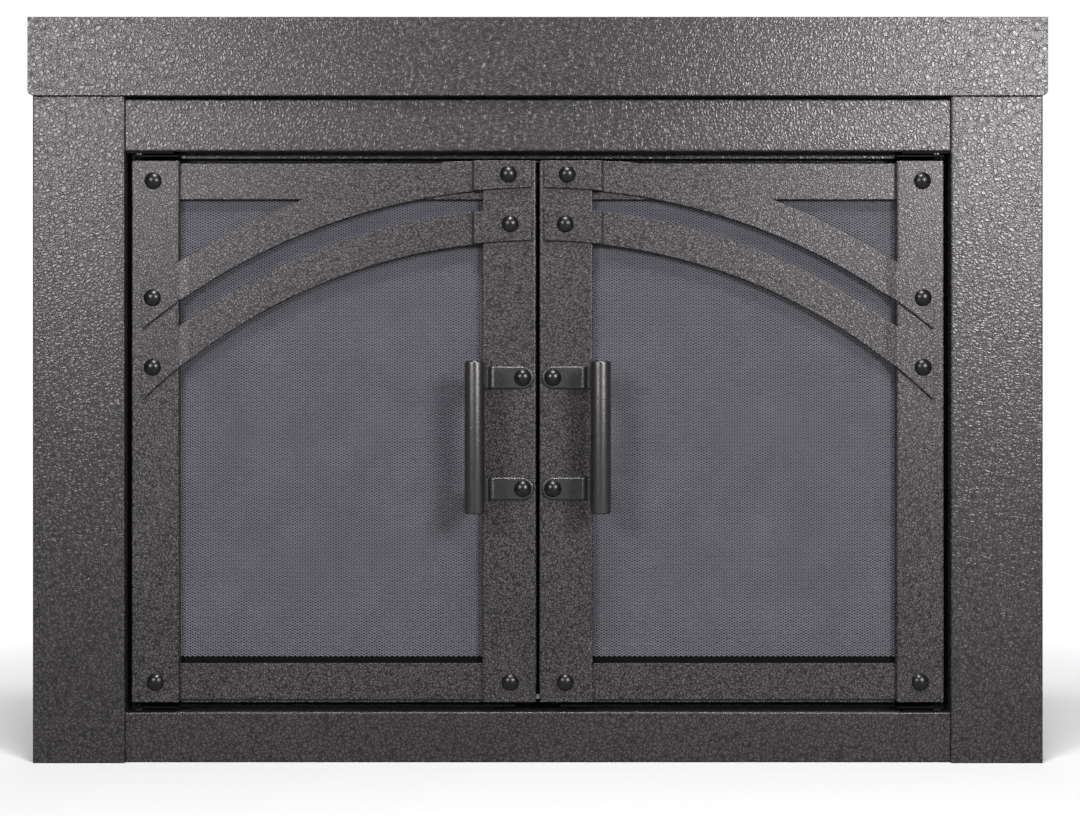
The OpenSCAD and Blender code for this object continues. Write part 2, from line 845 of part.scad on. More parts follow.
// Door rails: a web behind the arch bars, joggled ends inside the stiles, two short flanges
module door_rail(z, lip) {
    end_x = outer_bolt_x + nut_af;
    tip_x = inner_bolt_x - nut_af;
    flange_x0 = -win_out + part_gap;
    flange_x1 = -win_in - part_gap;
    difference() {
        union() {
            translate([0, 0, z])
                linear_extrude(height = door_rail_h)
                joggled_2d(
                    end_x, win_out + rail_entry + rail_joggle_l, rail_joggle_l,
                    win_in - rail_entry - rail_joggle_l, rail_joggle_l, tip_x,
                    stile_y + door_sheet, rail_y, door_sheet
                );
            for (zf = [z, z + door_rail_h - door_sheet])
                block([flange_x0, rail_y, zf], [flange_x1, mesh_y, zf + door_sheet]);
            block([flange_x0, mesh_y - door_sheet, z - lip], [flange_x1, mesh_y, z + door_sheet]);
        }
        dome_bolt_holes();
    }
}

module left_top_rail() {
    color(speckled) left() door_rail(top_rail_z, 0);
}

module right_top_rail() {
    color(speckled) right() door_rail(top_rail_z, 0);
}

module left_bottom_rail() {
    color(speckled) left() door_rail(bottom_rail_z, rail_lip_drop);
}

module right_bottom_rail() {
    color(speckled) right() door_rail(bottom_rail_z, rail_lip_drop);
}

// Arch bars: flat bars bent to a radius edgewise and joggled so that both ends lap the stiles
module arch_bar(r) {
    edge_shift = joggle_shift(rail_setback, outer_joggle_l, arch_bar_t);
    difference() {
        intersection() {
            linear_extrude(height = door_z1)
                joggled_2d(
                    door_out - outer_tab_margin, win_out - part_gap - edge_shift, outer_joggle_l,
                    win_in + inner_tab_overhang, inner_joggle_l, door_in + inner_tab_margin,
                    stile_y - arch_bar_t, rail_y - arch_bar_t, arch_bar_t
                );
            translate([0, 0, arch_centre_z])
                rotate([90, 0, 0])
                linear_extrude(height = frame_depth)
                difference() {
                    circle(r, $fn = arc_fn);
                    circle(r - arch_bar_w, $fn = arc_fn);
                }
        }
        dome_bolt_holes();
    }
}

module left_upper_arch_bar() {
    color(speckled) left() arch_bar(upper_arch_r);
}

module right_upper_arch_bar() {
    color(speckled) right() arch_bar(upper_arch_r);
}

module left_lower_arch_bar() {
    color(speckled) left() arch_bar(lower_arch_r);
}

module right_lower_arch_bar() {
    color(speckled) right() arch_bar(lower_arch_r);
}

// Dome bolts: a domed head on the face, the shank and a nut inside the stile
dome_ball_r = (bolt_head_r * bolt_head_r + bolt_head_h * bolt_head_h) / (2 * bolt_head_h);

module dome_head() {
    intersection() {
        translate([0, dome_ball_r - bolt_head_h, 0])
            sphere(dome_ball_r, $fn = round_fn);
        block([-bolt_head_r, -bolt_head_h, -bolt_head_r], [bolt_head_r, 0, bolt_head_r]);
    }
}

module dome_bolt(x, z, before, behind) {
    face_y = stile_y - before;
    nut_y = stile_y + door_sheet + behind;
    translate([-x, face_y, z]) dome_head();
    through(-x, z, bolt_r, face_y - bolt_head_h / 2, nut_y + nut_h);
    translate([-x, nut_y, z]) rotate([-90, 0, 0])
        cylinder(h = nut_h, d = nut_af / cos(180 / hex_fn), $fn = hex_fn);
}

module dome_bolt_set() {
    for (b = dome_bolts) dome_bolt(b[0], b[1], b[2], b[3]);
}

module dome_bolt_holes() {
    for (b = dome_bolts)
        through(-b[0], b[1], bolt_r + hole_clear, stile_y - arch_bar_t - strap_t, rail_y + nut_h);
}

module left_dome_bolts() {
    color(bolt_black) left() dome_bolt_set();
}

module right_dome_bolts() {
    color(bolt_black) right() dome_bolt_set();
}

// Mesh panel: a flat net of staggered diamonds inside a plain edge
mesh_x0 = -win_out - mesh_lap;
mesh_x1 = -win_in + mesh_lap;
mesh_z0 = bottom_rail_z + door_rail_h + mesh_gap_below;
mesh_z1 = top_rail_z + mesh_lap;

module diamond_2d(l, s) {
    polygon([[-l / 2, 0], [0, -s / 2], [l / 2, 0], [0, s / 2]]);
}

// The diamond that leaves a strand of the given width on every side
function diamond_cut(l, s) = 2 * strand_w * sqrt(l * l + s * s) / 4;

module mesh_panel() {
    w = mesh_x1 - mesh_x0;
    h = mesh_z1 - mesh_z0;
    cols = floor((w - 2 * strand_w) / mesh_long_pitch - 1 / 2);
    rows = floor((h - 2 * strand_w) / mesh_short_pitch - 1 / 2);
    gap_share = 1 - diamond_cut(mesh_long_pitch, mesh_short_pitch) * 2
        / (mesh_long_pitch * mesh_short_pitch);
    gap_l = mesh_long_pitch * gap_share;
    gap_s = mesh_short_pitch * gap_share;
    translate([(mesh_x0 + mesh_x1) / 2, mesh_y + mesh_t, (mesh_z0 + mesh_z1) / 2])
        rotate([90, 0, 0])
        linear_extrude(height = mesh_t)
        difference() {
            square([w, h], center = true);
            for (i = [0 : 2 * cols], j = [0 : 2 * rows])
                if ((i + j) % 2 == 0)
                    translate([
                        (i - cols) * mesh_long_pitch / 2,
                        (j - rows) * mesh_short_pitch / 2
                    ])
                        diamond_2d(gap_l, gap_s);
        }
}

module left_mesh_panel() {
    color(mesh_grey) left() mesh_panel();
}

module right_mesh_panel() {
    color(mesh_grey) right() mesh_panel();
}

// Mesh strips: four flat strips that clamp the mesh's edges from behind
module mesh_strips() {
    y0 = mesh_y + mesh_t;
    y1 = y0 + strip_t;
    x0 = mesh_x0 - mesh_lap / 2;
    x1 = mesh_x1 + mesh_lap / 2;
    z0 = mesh_z0 + mesh_lap - strip_w - mesh_gap_below;
    z1 = mesh_z1 + mesh_lap / 2;
    block([x0, y0, z0], [x1, y1, mesh_z0 + mesh_lap]);
    block([x0, y0, z1 - strip_w], [x1, y1, z1]);
    for (x = [x0, x1 - strip_w])
        block([x, y0, mesh_z0 + mesh_lap + part_gap], [x + strip_w, y1, z1 - strip_w - part_gap]);
}

module left_mesh_strips() {
    color(blackened) left() mesh_strips();
}

module right_mesh_strips() {
    color(blackened) right() mesh_strips();
}

// Handles: a tube with two caps on two bent straps
tube_x = -door_in - handle_inset;
tube_y = stile_y - handle_standoff;
tube_z = handle_z - handle_drop;
cap_edge_r = tube_wall;

module handle_tube() {
    half = handle_l / 2 - cap_edge_r;
    difference() {
        upright(tube_x, tube_y, tube_r, tube_z - half, tube_z + half);
        upright(tube_x, tube_y, tube_r - tube_wall, tube_z - half - cut, tube_z + half + cut);
    }
}

// A cap: a disc with a rounded rim and a spigot inside the tube
module handle_cap() {
    rotate_extrude($fn = round_fn) {
        square([tube_r - cap_edge_r, cap_edge_r]);
        intersection() {
            translate([tube_r - cap_edge_r, 0]) circle(cap_edge_r, $fn = round_fn);
            square([tube_r, cap_edge_r]);
        }
        translate([0, -2 * tube_wall]) square([tube_r - tube_wall - hole_clear, 2 * tube_wall]);
    }
}

module handle_caps() {
    half = handle_l / 2 - cap_edge_r;
    translate([tube_x, tube_y, tube_z + half]) handle_cap();
    translate([tube_x, tube_y, tube_z - half]) mirror([0, 0, 1]) handle_cap();
}

// A strap: flat on the stile round its bolt, bent forward beside the tube and welded to it
module handle_strap(z) {
    leg_x = tube_x + tube_r;
    bend_x = leg_x + strap_t + strap_bend_r;
    bend_y = stile_y - strap_t - strap_bend_r;
    end_x = -strap_bolt_x;
    difference() {
        union() {
            block([bend_x, stile_y - strap_t, z - strap_h / 2], [end_x, stile_y, z + strap_h / 2]);
            through(end_x, z, strap_h / 2, stile_y - strap_t, stile_y);
            translate([0, 0, z - strap_h / 2])
                linear_extrude(height = strap_h)
                intersection() {
                    difference() {
                        translate([bend_x, bend_y])
                            circle(strap_bend_r + strap_t, $fn = round_fn);
                        translate([bend_x, bend_y]) circle(strap_bend_r, $fn = round_fn);
                    }
                    translate([leg_x, bend_y]) square([strap_bend_r + strap_t, strap_bend_r + strap_t]);
                }
            block(
                [leg_x - strap_t, tube_y, z - strap_h / 2],
                [leg_x + strap_t, bend_y, z + strap_h / 2]
            );
        }
        upright(tube_x, tube_y, tube_r, z - strap_h, z + strap_h);
        block(
            [leg_x - strap_t - cut, tube_y + tube_r / 2, z - strap_h],
            [leg_x, bend_y + cut, z + strap_h]
        );
        dome_bolt_holes();
    }
}

module handle_straps() {
    handle_strap(upper_strap_z);
    handle_strap(lower_strap_z);
}

module left_handle_tube() {
    color(speckled) left() handle_tube();
}

module right_handle_tube() {
    color(speckled) right() handle_tube();
}

module left_handle_caps() {
    color(speckled) left() handle_caps();
}

module right_handle_caps() {
    color(speckled) right() handle_caps();
}

module left_handle_straps() {
    color(speckled) left() handle_straps();
}

module right_handle_straps() {
    color(speckled) right() handle_straps();
}

// Catch: a bracket on the lower rail carries a magnet bar behind the doors' meeting corners
catch_y = stile_rear + strike_t + part_gap;
catch_foot_d = 16;
magnet_z = door_z0 + door_sheet / 2;
// Room from a strike plate to the stile's lower end
strike_lift = 0.5;

module catch_bracket() {
    y0 = catch_y + magnet_t;
    color(blackened) {
        block(
            [-catch_w / 2, y0, lower_rail_h],
            [catch_w / 2, y0 + hinge_t, magnet_z + magnet_h + hinge_t]
        );
        block([-catch_w / 2, y0, lower_rail_h], [catch_w / 2, y0 + catch_foot_d, lower_rail_h + hinge_t]);
    }
}

module catch_magnet() {
    color(zinc)
    block([-catch_w / 2, catch_y, magnet_z], [catch_w / 2, catch_y + magnet_t, magnet_z + magnet_h]);
}

module strike_plate() {
    block(
        [-catch_w / 2 - door_in, stile_rear, door_z0 + strike_lift],
        [-door_in, stile_rear + strike_t, door_z0 + strike_lift + strike_h]
    );
}

module left_strike_plate() {
    color(zinc) left() strike_plate();
}

module right_strike_plate() {
    color(zinc) right() strike_plate();
}

// Glass track: a folded front strip with a lip, and a rear strip; the rollers run between them
module glass_track() {
    slot_y = glass_mid_y - track_w / 2;
    lip_y = slot_y - track_lip_reach;
    x1 = post_in - track_end_gap;
    z0 = upper_rail_z - track_h;
    color(hammered) {
        difference() {
            block([-x1, lip_y, z0], [x1, slot_y + track_sheet, upper_rail_z]);
            block(
                [-x1 - cut, lip_y + track_sheet, z0 - cut],
                [x1 + cut, slot_y, upper_rail_z - track_sheet]
            );
            block(
                [-x1 - cut, lip_y - cut, z0 - cut],
                [x1 + cut, lip_y + 2 * track_sheet, upper_rail_z - track_lip_h]
            );
        }
        block(
            [-x1, slot_y + track_w - track_sheet, z0],
            [x1, slot_y + track_w, upper_rail_z]
        );
    }
}

// Pivot sockets: blocks with a bore, two inside the track and two on the lower rail
module pivot_sockets() {
    y_in = track_w / 2 - track_sheet;
    z1 = upper_rail_z;
    z2 = lower_rail_h + socket_h;
    color(blackened) both() difference() {
        union() {
            block(
                [-pivot_x - socket_w / 2, glass_mid_y - y_in, z1 - socket_h],
                [-pivot_x + socket_w / 2, glass_mid_y + y_in, z1]
            );
            block(
                [-pivot_x - socket_w / 2, glass_mid_y - foot_socket_d / 2, lower_rail_h],
                [-pivot_x + socket_w / 2, glass_mid_y + foot_socket_d / 2, z2]
            );
        }
        upright(-pivot_x, glass_mid_y, glass_pin_r + pin_clear, z1 - socket_h - cut, z1 - track_sheet);
        upright(-pivot_x, glass_mid_y, glass_pin_r + pin_clear, lower_rail_h + track_sheet, z2 + cut);
    }
}

// Glass leaves
module pane(x0, x1) {
    block([-x0, glass_y, glass_z0], [-x1, glass_rear, glass_z1]);
}

module outer_glass() {
    pane(glass_out, fold_x + fold_gap / 2);
}

module inner_glass() {
    difference() {
        pane(fold_x - fold_gap / 2, glass_in);
        knob_bore();
    }
}

// A clamp over the glass's top or bottom edge at distance x from the middle
module edge_clamp(x, z, up) {
    z_in = up > 0 ? z - clamp_grip : z;
    z_out = up > 0 ? z : z - clamp_sheet;
    for (y = [glass_y - clamp_sheet, glass_rear])
        block(
            [-x - clamp_l / 2, y, z_in],
            [-x + clamp_l / 2, y + clamp_sheet, z_in + clamp_grip]
        );
    block(
        [-x - clamp_l / 2, glass_y - clamp_sheet, z_out],
        [-x + clamp_l / 2, glass_rear + clamp_sheet, z_out + clamp_sheet]
    );
}

module pivot_clamps() {
    edge_clamp(pivot_x, glass_z1, 1);
    edge_clamp(pivot_x, glass_z0, -1);
    upright(
        -pivot_x, glass_mid_y, glass_pin_r,
        glass_z1 + clamp_sheet, upper_rail_z - track_sheet - part_gap
    );
    upright(
        -pivot_x, glass_mid_y, glass_pin_r,
        lower_rail_h + track_sheet + part_gap, glass_z0 - clamp_sheet
    );
}

module guide_clamp() {
    roller_z0 = upper_rail_z - track_h + track_sheet;
    edge_clamp(guide_x, glass_z1, 1);
    upright(-guide_x, glass_mid_y, glass_pin_r, glass_z1 + clamp_sheet, roller_z0);
    upright(
        -guide_x, glass_mid_y, roller_r,
        roller_z0, upper_rail_z - track_sheet - 2 * part_gap
    );
}

// Fold hinges: each half wraps the glass's upright edge; the knuckles stand behind the glass
module fold_leaf(x_edge, side, z0, z1) {
    x_web = x_edge + side * clamp_sheet;
    x_far = x_edge - side * fold_leaf_l;
    xa = min(x_web, x_far);
    xb = max(x_web, x_far);
    for (y = [glass_y - clamp_sheet, glass_rear]) block([xa, y, z0], [xb, y + clamp_sheet, z1]);
    block(
        [min(x_edge, x_web), glass_y - clamp_sheet, z0],
        [max(x_edge, x_web), glass_rear + clamp_sheet, z1]
    );
}

module knuckle(side, z0, z1) {
    x_far = -fold_x - side * 2 * knuckle_r;
    upright(-fold_x, fold_y, knuckle_r, z0, z1);
    block([min(-fold_x, x_far), glass_rear, z0], [max(-fold_x, x_far), fold_y, z1]);
}

fold_hinge_zs = [
    glass_z0 + fold_hinge_inset - fold_hinge_h / 2,
    glass_z1 - fold_hinge_inset - fold_hinge_h / 2
];
end_knuckle_h = fold_hinge_h * (1 - middle_knuckle_share) / 2;

module outer_fold_hinges() {
    for (z = fold_hinge_zs) {
        difference() {
            union() {
                fold_leaf(-fold_x - fold_gap / 2, 1, z, z + fold_hinge_h);
                knuckle(1, z, z + end_knuckle_h);
                knuckle(1, z + fold_hinge_h - end_knuckle_h, z + fold_hinge_h);
            }
            // Room for the other half's middle knuckle
            upright(
                -fold_x, fold_y, knuckle_r + part_gap,
                z + end_knuckle_h, z + fold_hinge_h - end_knuckle_h
            );
        }
        upright(-fold_x, fold_y, fold_pin_r, z, z + fold_hinge_h);
    }
}

module inner_fold_hinges() {
    for (z = fold_hinge_zs) {
        k0 = z + end_knuckle_h + part_gap;
        k1 = z + fold_hinge_h - end_knuckle_h - part_gap;
        difference() {
            union() {
                fold_leaf(-fold_x + fold_gap / 2, -1, z, z + fold_hinge_h);
                knuckle(-1, k0, k1);
            }
            upright(-fold_x, fold_y, fold_pin_r + pin_clear, k0 - cut, k1 + cut);
            // Room for the other half's end knuckles
            upright(-fold_x, fold_y, knuckle_r + part_gap, z - cut, k0);
            upright(-fold_x, fold_y, knuckle_r + part_gap, k1, z + fold_hinge_h + cut);
        }
    }
}

// Glass knob: a low turned knob in front, its screw and washer behind
knob_x = glass_in + knob_inset;

module knob_bore() {
    through(-knob_x, handle_z, knob_screw_r + hole_clear, glass_y - cut, glass_rear + cut);
}

module glass_knob() {
    translate([-knob_x, glass_y, handle_z]) rotate([90, 0, 0])
        rotate_extrude($fn = round_fn) {
            square([knob_r - knob_base_h, knob_base_h]);
            square([knob_stem_r, knob_h]);
            translate([0, knob_base_h]) difference() {
                square([knob_r, knob_h - knob_base_h]);
                translate([knob_r, 0]) circle(knob_base_h, $fn = round_fn);
                translate([knob_r, knob_h - knob_base_h]) circle(knob_base_h, $fn = round_fn);
            }
        }
    through(-knob_x, handle_z, knob_screw_r, glass_y, glass_rear + knob_washer_t);
    through(-knob_x, handle_z, knob_washer_r, glass_rear, glass_rear + knob_washer_t);
}

module left_outer_glass() {
    color(smoked) left() outer_glass();
}

module right_outer_glass() {
    color(smoked) right() outer_glass();
}

module left_pivot_clamps() {
    color(blackened) left() pivot_clamps();
}

module right_pivot_clamps() {
    color(blackened) right() pivot_clamps();
}

module left_outer_fold_hinges() {
    color(blackened) left() outer_fold_hinges();
}

module right_outer_fold_hinges() {
    color(blackened) right() outer_fold_hinges();
}

module left_inner_glass() {
    color(smoked) left() inner_glass();
}

module right_inner_glass() {
    color(smoked) right() inner_glass();
}

module left_inner_fold_hinges() {
    color(blackened) left() inner_fold_hinges();
}

module right_inner_fold_hinges() {
    color(blackened) right() inner_fold_hinges();
}

module left_guide_clamp() {
    color(blackened) left() guide_clamp();
}

module right_guide_clamp() {
    color(blackened) right() guide_clamp();
}

module left_glass_knob() {
    color(bolt_black) left() glass_knob();
}

module right_glass_knob() {
    color(bolt_black) right() glass_knob();
}

header_cap();
left_post();
right_post();
upper_rail();
lower_rail();
corner_brackets();
header_brackets();
frame_screws();
floor_brackets();
lintel_clamps();
clamp_screws();
frame_hinge_plates();
hinge_washers();
catch_bracket();
catch_magnet();
glass_track();
pivot_sockets();
left_outer_stile();
left_inner_stile();
left_top_rail();
left_bottom_rail();
left_upper_arch_bar();
left_lower_arch_bar();
left_mesh_panel();
left_mesh_strips();
left_dome_bolts();
left_handle_tube();
left_handle_caps();
left_handle_straps();
left_strike_plate();
left_hinge_tabs();
left_outer_glass();
left_pivot_clamps();
left_outer_fold_hinges();
left_inner_glass();
left_inner_fold_hinges();
left_guide_clamp();
left_glass_knob();
right_outer_stile();
right_inner_stile();
right_top_rail();
right_bottom_rail();
right_upper_arch_bar();
right_lower_arch_bar();
right_mesh_panel();
right_mesh_strips();
right_dome_bolts();
right_handle_tube();
right_handle_caps();
right_handle_straps();
right_strike_plate();
right_hinge_tabs();
right_outer_glass();
right_pivot_clamps();
right_outer_fold_hinges();
right_inner_glass();
right_inner_fold_hinges();
right_guide_clamp();
right_glass_knob();
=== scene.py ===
"""Fireplace glass door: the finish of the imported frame, its fine mesh, bolts, handles and stage.

Lengths are metres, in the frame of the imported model: x across, y back, z up, and the floor at 0.
"""
import json
import math

import bmesh
import bpy
import numpy as np
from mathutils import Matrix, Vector


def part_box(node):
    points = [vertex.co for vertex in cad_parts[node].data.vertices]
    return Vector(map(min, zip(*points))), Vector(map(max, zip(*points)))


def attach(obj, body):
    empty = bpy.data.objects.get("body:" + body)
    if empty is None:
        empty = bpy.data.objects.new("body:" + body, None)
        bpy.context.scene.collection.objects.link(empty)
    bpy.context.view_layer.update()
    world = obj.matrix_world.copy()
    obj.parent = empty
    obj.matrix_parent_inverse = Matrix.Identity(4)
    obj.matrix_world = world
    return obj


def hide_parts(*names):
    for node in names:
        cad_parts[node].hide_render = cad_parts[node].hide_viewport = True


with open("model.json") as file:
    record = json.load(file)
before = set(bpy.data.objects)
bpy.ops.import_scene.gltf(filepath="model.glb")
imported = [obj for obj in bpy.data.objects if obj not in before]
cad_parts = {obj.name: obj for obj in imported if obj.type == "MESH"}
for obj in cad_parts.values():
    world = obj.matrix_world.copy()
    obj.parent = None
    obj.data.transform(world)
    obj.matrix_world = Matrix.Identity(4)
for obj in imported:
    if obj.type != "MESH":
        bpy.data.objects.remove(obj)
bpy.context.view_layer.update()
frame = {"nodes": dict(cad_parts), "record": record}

bl_info = {
    "name": "Fireplace Glass Door",
    "version": (1, 0, 0),
    "blender": (4, 5, 0),
    "location": "View3D > Sidebar > Hearth",
    "description": "Dresses a fireplace door: coated frame, arched screen doors, fine mesh and glass",
    "category": "Add Mesh",
}

SIDES = ("left", "right")
# The body that each CAD node belongs to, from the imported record
BODIES = {n: b for b, ns in frame["record"]["behaviour"]["bodies"].items() for n in ns}


# Settings

class CoatSettings(bpy.types.PropertyGroup):
    """Colours and relief of the textured paint on the frame and the doors."""

    # In each coat the ground colour fills the recessed seams and the fleck colour the raised cell
    # tops: partly the coat's own look and partly painted shade in the seams
    frame_tone: bpy.props.FloatVectorProperty(
        name="Frame coat", description="Ground colour of the frame's hammered coat",
        subtype="COLOR", size=3, min=0, max=1, default=(0.0015, 0.0013, 0.0014))
    frame_fleck: bpy.props.FloatVectorProperty(
        name="Frame fleck", description="Colour of the raised flecks in the frame's coat",
        subtype="COLOR", size=3, min=0, max=1, default=(0.038, 0.0344, 0.0361))
    door_tone: bpy.props.FloatVectorProperty(
        name="Door coat", description="Ground colour of the doors' speckled coat",
        subtype="COLOR", size=3, min=0, max=1, default=(0.0015, 0.0013, 0.0014))
    door_fleck: bpy.props.FloatVectorProperty(
        name="Door fleck", description="Colour of the light specks in the doors' coat",
        subtype="COLOR", size=3, min=0, max=1, default=(0.066, 0.060, 0.063))
    handle_tone: bpy.props.FloatVectorProperty(
        name="Handle coat", description="Ground colour of the handles' finer coat",
        subtype="COLOR", size=3, min=0, max=1, default=(0.001, 0.0009, 0.0009))
    handle_fleck: bpy.props.FloatVectorProperty(
        name="Handle fleck", description="Colour of the light specks on the handles",
        subtype="COLOR", size=3, min=0, max=1, default=(0.012, 0.011, 0.0115))
    edge_round: bpy.props.FloatProperty(
        name="Sheet edge", description="Radius that the paint leaves on a sheet's edge",
        subtype="DISTANCE", unit="LENGTH", min=0.0001, max=0.002, default=0.0009)
    bar_round: bpy.props.FloatProperty(
        name="Bar edge", description="Radius that the paint leaves on the edge of a door's bar",
        subtype="DISTANCE", unit="LENGTH", min=0.0001, max=0.002, default=0.0013)


class ScreenSettings(bpy.types.PropertyGroup):
    """The diamond mesh in the doors."""

    diamond_w: bpy.props.FloatProperty(
        name="Diamond width", description="Width of one diamond of the mesh",
        subtype="DISTANCE", unit="LENGTH", min=0.003, max=0.02, default=0.0056)
    diamond_h: bpy.props.FloatProperty(
        name="Diamond height", description="Height of one diamond of the mesh",
        subtype="DISTANCE", unit="LENGTH", min=0.0015, max=0.01, default=0.0029)
    strand_w: bpy.props.FloatProperty(
        name="Strand width", description="Width of one strand, seen from the front",
        subtype="DISTANCE", unit="LENGTH", min=0.0002, max=0.002, default=0.0016)
    strand_t: bpy.props.FloatProperty(
        name="Strand thickness", description="Thickness of one strand from front to back",
        subtype="DISTANCE", unit="LENGTH", min=0.0002, max=0.001, default=0.0006)
    strand_tone: bpy.props.FloatVectorProperty(
        name="Strand colour", description="Colour of the mesh's paint",
        subtype="COLOR", size=3, min=0, max=1, default=(0.080, 0.0775, 0.090))


class HardwareSettings(bpy.types.PropertyGroup):
    """Bolts, handle straps and glass."""

    dome_r: bpy.props.FloatProperty(
        name="Bolt head radius", description="Radius of a dome bolt's head",
        subtype="DISTANCE", unit="LENGTH", min=0.005, max=0.012, default=0.0092)
    dome_h: bpy.props.FloatProperty(
        name="Bolt head height", description="Height of a dome bolt's head",
        subtype="DISTANCE", unit="LENGTH", min=0.003, max=0.008, default=0.0055)
    strap_t: bpy.props.FloatProperty(
        name="Strap thickness", description="Thickness of a handle strap",
        subtype="DISTANCE", unit="LENGTH", min=0.002, max=0.004, default=0.003)
    strap_bend_r: bpy.props.FloatProperty(
        name="Strap bend", description="Inside radius of a handle strap's bend",
        subtype="DISTANCE", unit="LENGTH", min=0.002, max=0.008, default=0.0065)
    strap_edge_r: bpy.props.FloatProperty(
        name="Strap edge", description="Radius of a handle strap's rounded edge",
        subtype="DISTANCE", unit="LENGTH", min=0.0003, max=0.002, default=0.0017)
    oxide_tone: bpy.props.FloatVectorProperty(
        name="Bolt black", description="Colour of the blackened bolts",
        subtype="COLOR", size=3, min=0, max=1, default=(0.0022, 0.002, 0.0021))
    glass_tone: bpy.props.FloatVectorProperty(
        name="Glass smoke", description="Tint of the smoked glass",
        subtype="COLOR", size=3, min=0, max=1, default=(0.02, 0.02, 0.022))


class StageSettings(bpy.types.PropertyGroup):
    """Camera, lights and floor."""

    camera_dist: bpy.props.FloatProperty(
        name="Camera distance", description="Distance of the camera in front of the frame's middle",
        subtype="DISTANCE", unit="LENGTH", min=1, max=5, default=1.74)
    camera_z: bpy.props.FloatProperty(
        name="Camera height", description="Height of the camera over the floor",
        subtype="DISTANCE", unit="LENGTH", min=0, max=2, default=0.3855)
    key_power: bpy.props.FloatProperty(
        name="Right light", description="Power of the right softbox, in watts",
        min=0, max=500, default=64)
    fill_power: bpy.props.FloatProperty(
        name="Left light", description="Power of the left softbox, in watts",
        min=0, max=500, default=40)
    top_power: bpy.props.FloatProperty(
        name="Top light", description="Power of the high softbox in front of the doors, in watts",
        min=0, max=500, default=75)
    ambient: bpy.props.FloatProperty(
        name="Ambient", description="Strength of the light from all round",
        min=0, max=2, default=0.12)


# Materials

# Tint of the gloss on every paint and metal
GLOSS_TINT = (1.0, 0.955, 0.965, 1.0)
# The middle of a noise's range, where most of its values lie
NOISE_LOW, NOISE_HIGH = 0.3, 0.7
# Textured coats: the scales of the noise that bends the seams and of the grain, as multiples of the
# cells' own, and the grain's share of the relief
BEND_SCALE, GRAIN_SCALE, GRAIN_SHARE = 0.7, 2.6, 0.3
# Distance from a seam, in cells, over which the relief rises to a cell's flat top
CELL_RISE = 0.35
# Slow change of a coat's tone: waves to the metre, and the factors that it runs between
DRIFT_SCALE, DRIFT_LOW, DRIFT_HIGH = 9.0, 0.85, 1.1
# How much rougher a coat's seams are than its cells
SEAM_ROUGH = 0.08
BEVEL_SAMPLES = 4
# Worn patches of plain metal: their size in grains, and the values of the slow noise at which they
# begin and are full
PATCH_SIZE, PATCH_LOW, PATCH_HIGH = 40, 0.4, 0.75
# How far the grain of plain metal takes the roughness under and over its middle
GRAIN_SMOOTHER, GRAIN_ROUGHER = 0.05, 0.07
BLACK_TONE = (0.002, 0.0018, 0.002)
ZINC_TONE = (0.42, 0.42, 0.44)
# Smoked glass: waves to the metre, the factor of its lighter parts, the ends of its roughness and its
# refractive index
GLASS_SCALE, GLASS_LIGHTER, GLASS_SMOOTH, GLASS_ROUGH, GLASS_IOR = 6.0, 1.4, 0.04, 0.1, 1.5


def new_material(name):
    """A new node material, its node tree and its Principled shader."""
    mat = bpy.data.materials.new(name)
    mat.use_nodes = True
    tree = mat.node_tree
    return mat, tree, tree.nodes["Principled BSDF"]


def coordinates(tree, kind):
    """Texture coordinates of one kind."""
    return tree.nodes.new("ShaderNodeTexCoord").outputs[kind]


def noise(tree, vector, scale, detail, rough=0.5, distortion=0.0, output="Fac"):
    """One output of a noise texture on the given coordinates."""
    n = tree.nodes.new("ShaderNodeTexNoise")
    n.inputs["Scale"].default_value = scale
    n.inputs["Detail"].default_value = detail
    n.inputs["Roughness"].default_value = rough
    n.inputs["Distortion"].default_value = distortion
    tree.links.new(vector, n.inputs["Vector"])
    return n.outputs[output]


def bent(tree, place, scale, warp):
    """Coordinates shifted by warp / scale * noise."""
    shift = tree.nodes.new("ShaderNodeVectorMath")
    shift.operation = "MULTIPLY_ADD"
    colour = noise(tree, place, scale * BEND_SCALE, detail=0.0, output="Color")
    tree.links.new(colour, shift.inputs[0])
    shift.inputs[1].default_value = (warp / scale,) * 3
    tree.links.new(place, shift.inputs[2])
    return shift.outputs[0]


def cell_depth(tree, vector, scale):
    """Distance from the nearest seam of a random cell pattern, with the cells' size as the unit."""
    v = tree.nodes.new("ShaderNodeTexVoronoi")
    v.feature = "DISTANCE_TO_EDGE"
    v.inputs["Scale"].default_value = scale
    tree.links.new(vector, v.inputs["Vector"])
    return v.outputs["Distance"]


def spread(tree, value, low, high, to_low=0.0, to_high=1.0):
    """The value's range from low to high is drawn out to a new range, and clamped there."""
    m = tree.nodes.new("ShaderNodeMapRange")
    m.inputs["From Min"].default_value = low
    m.inputs["From Max"].default_value = high
    m.inputs["To Min"].default_value = to_low
    m.inputs["To Max"].default_value = to_high
    tree.links.new(value, m.inputs["Value"])
    return m.outputs["Result"]


def math_node(tree, kind, a, b):
    """Two values joined by one sum; b may be a plain number."""
    m = tree.nodes.new("ShaderNodeMath")
    m.operation = kind
    tree.links.new(a, m.inputs[0])
    if isinstance(b, (int, float)):
        m.inputs[1].default_value = b
    else:
        tree.links.new(b, m.inputs[1])
    return m.outputs[0]


def two_tone(tree, fac, dark, light):
    """A colour between dark and light by the value fac."""
    ramp = tree.nodes.new("ShaderNodeValToRGB")
    ramp.color_ramp.elements[0].color = (*dark, 1)
    ramp.color_ramp.elements[1].color = (*light, 1)
    tree.links.new(fac, ramp.inputs["Fac"])
    return ramp.outputs["Color"]


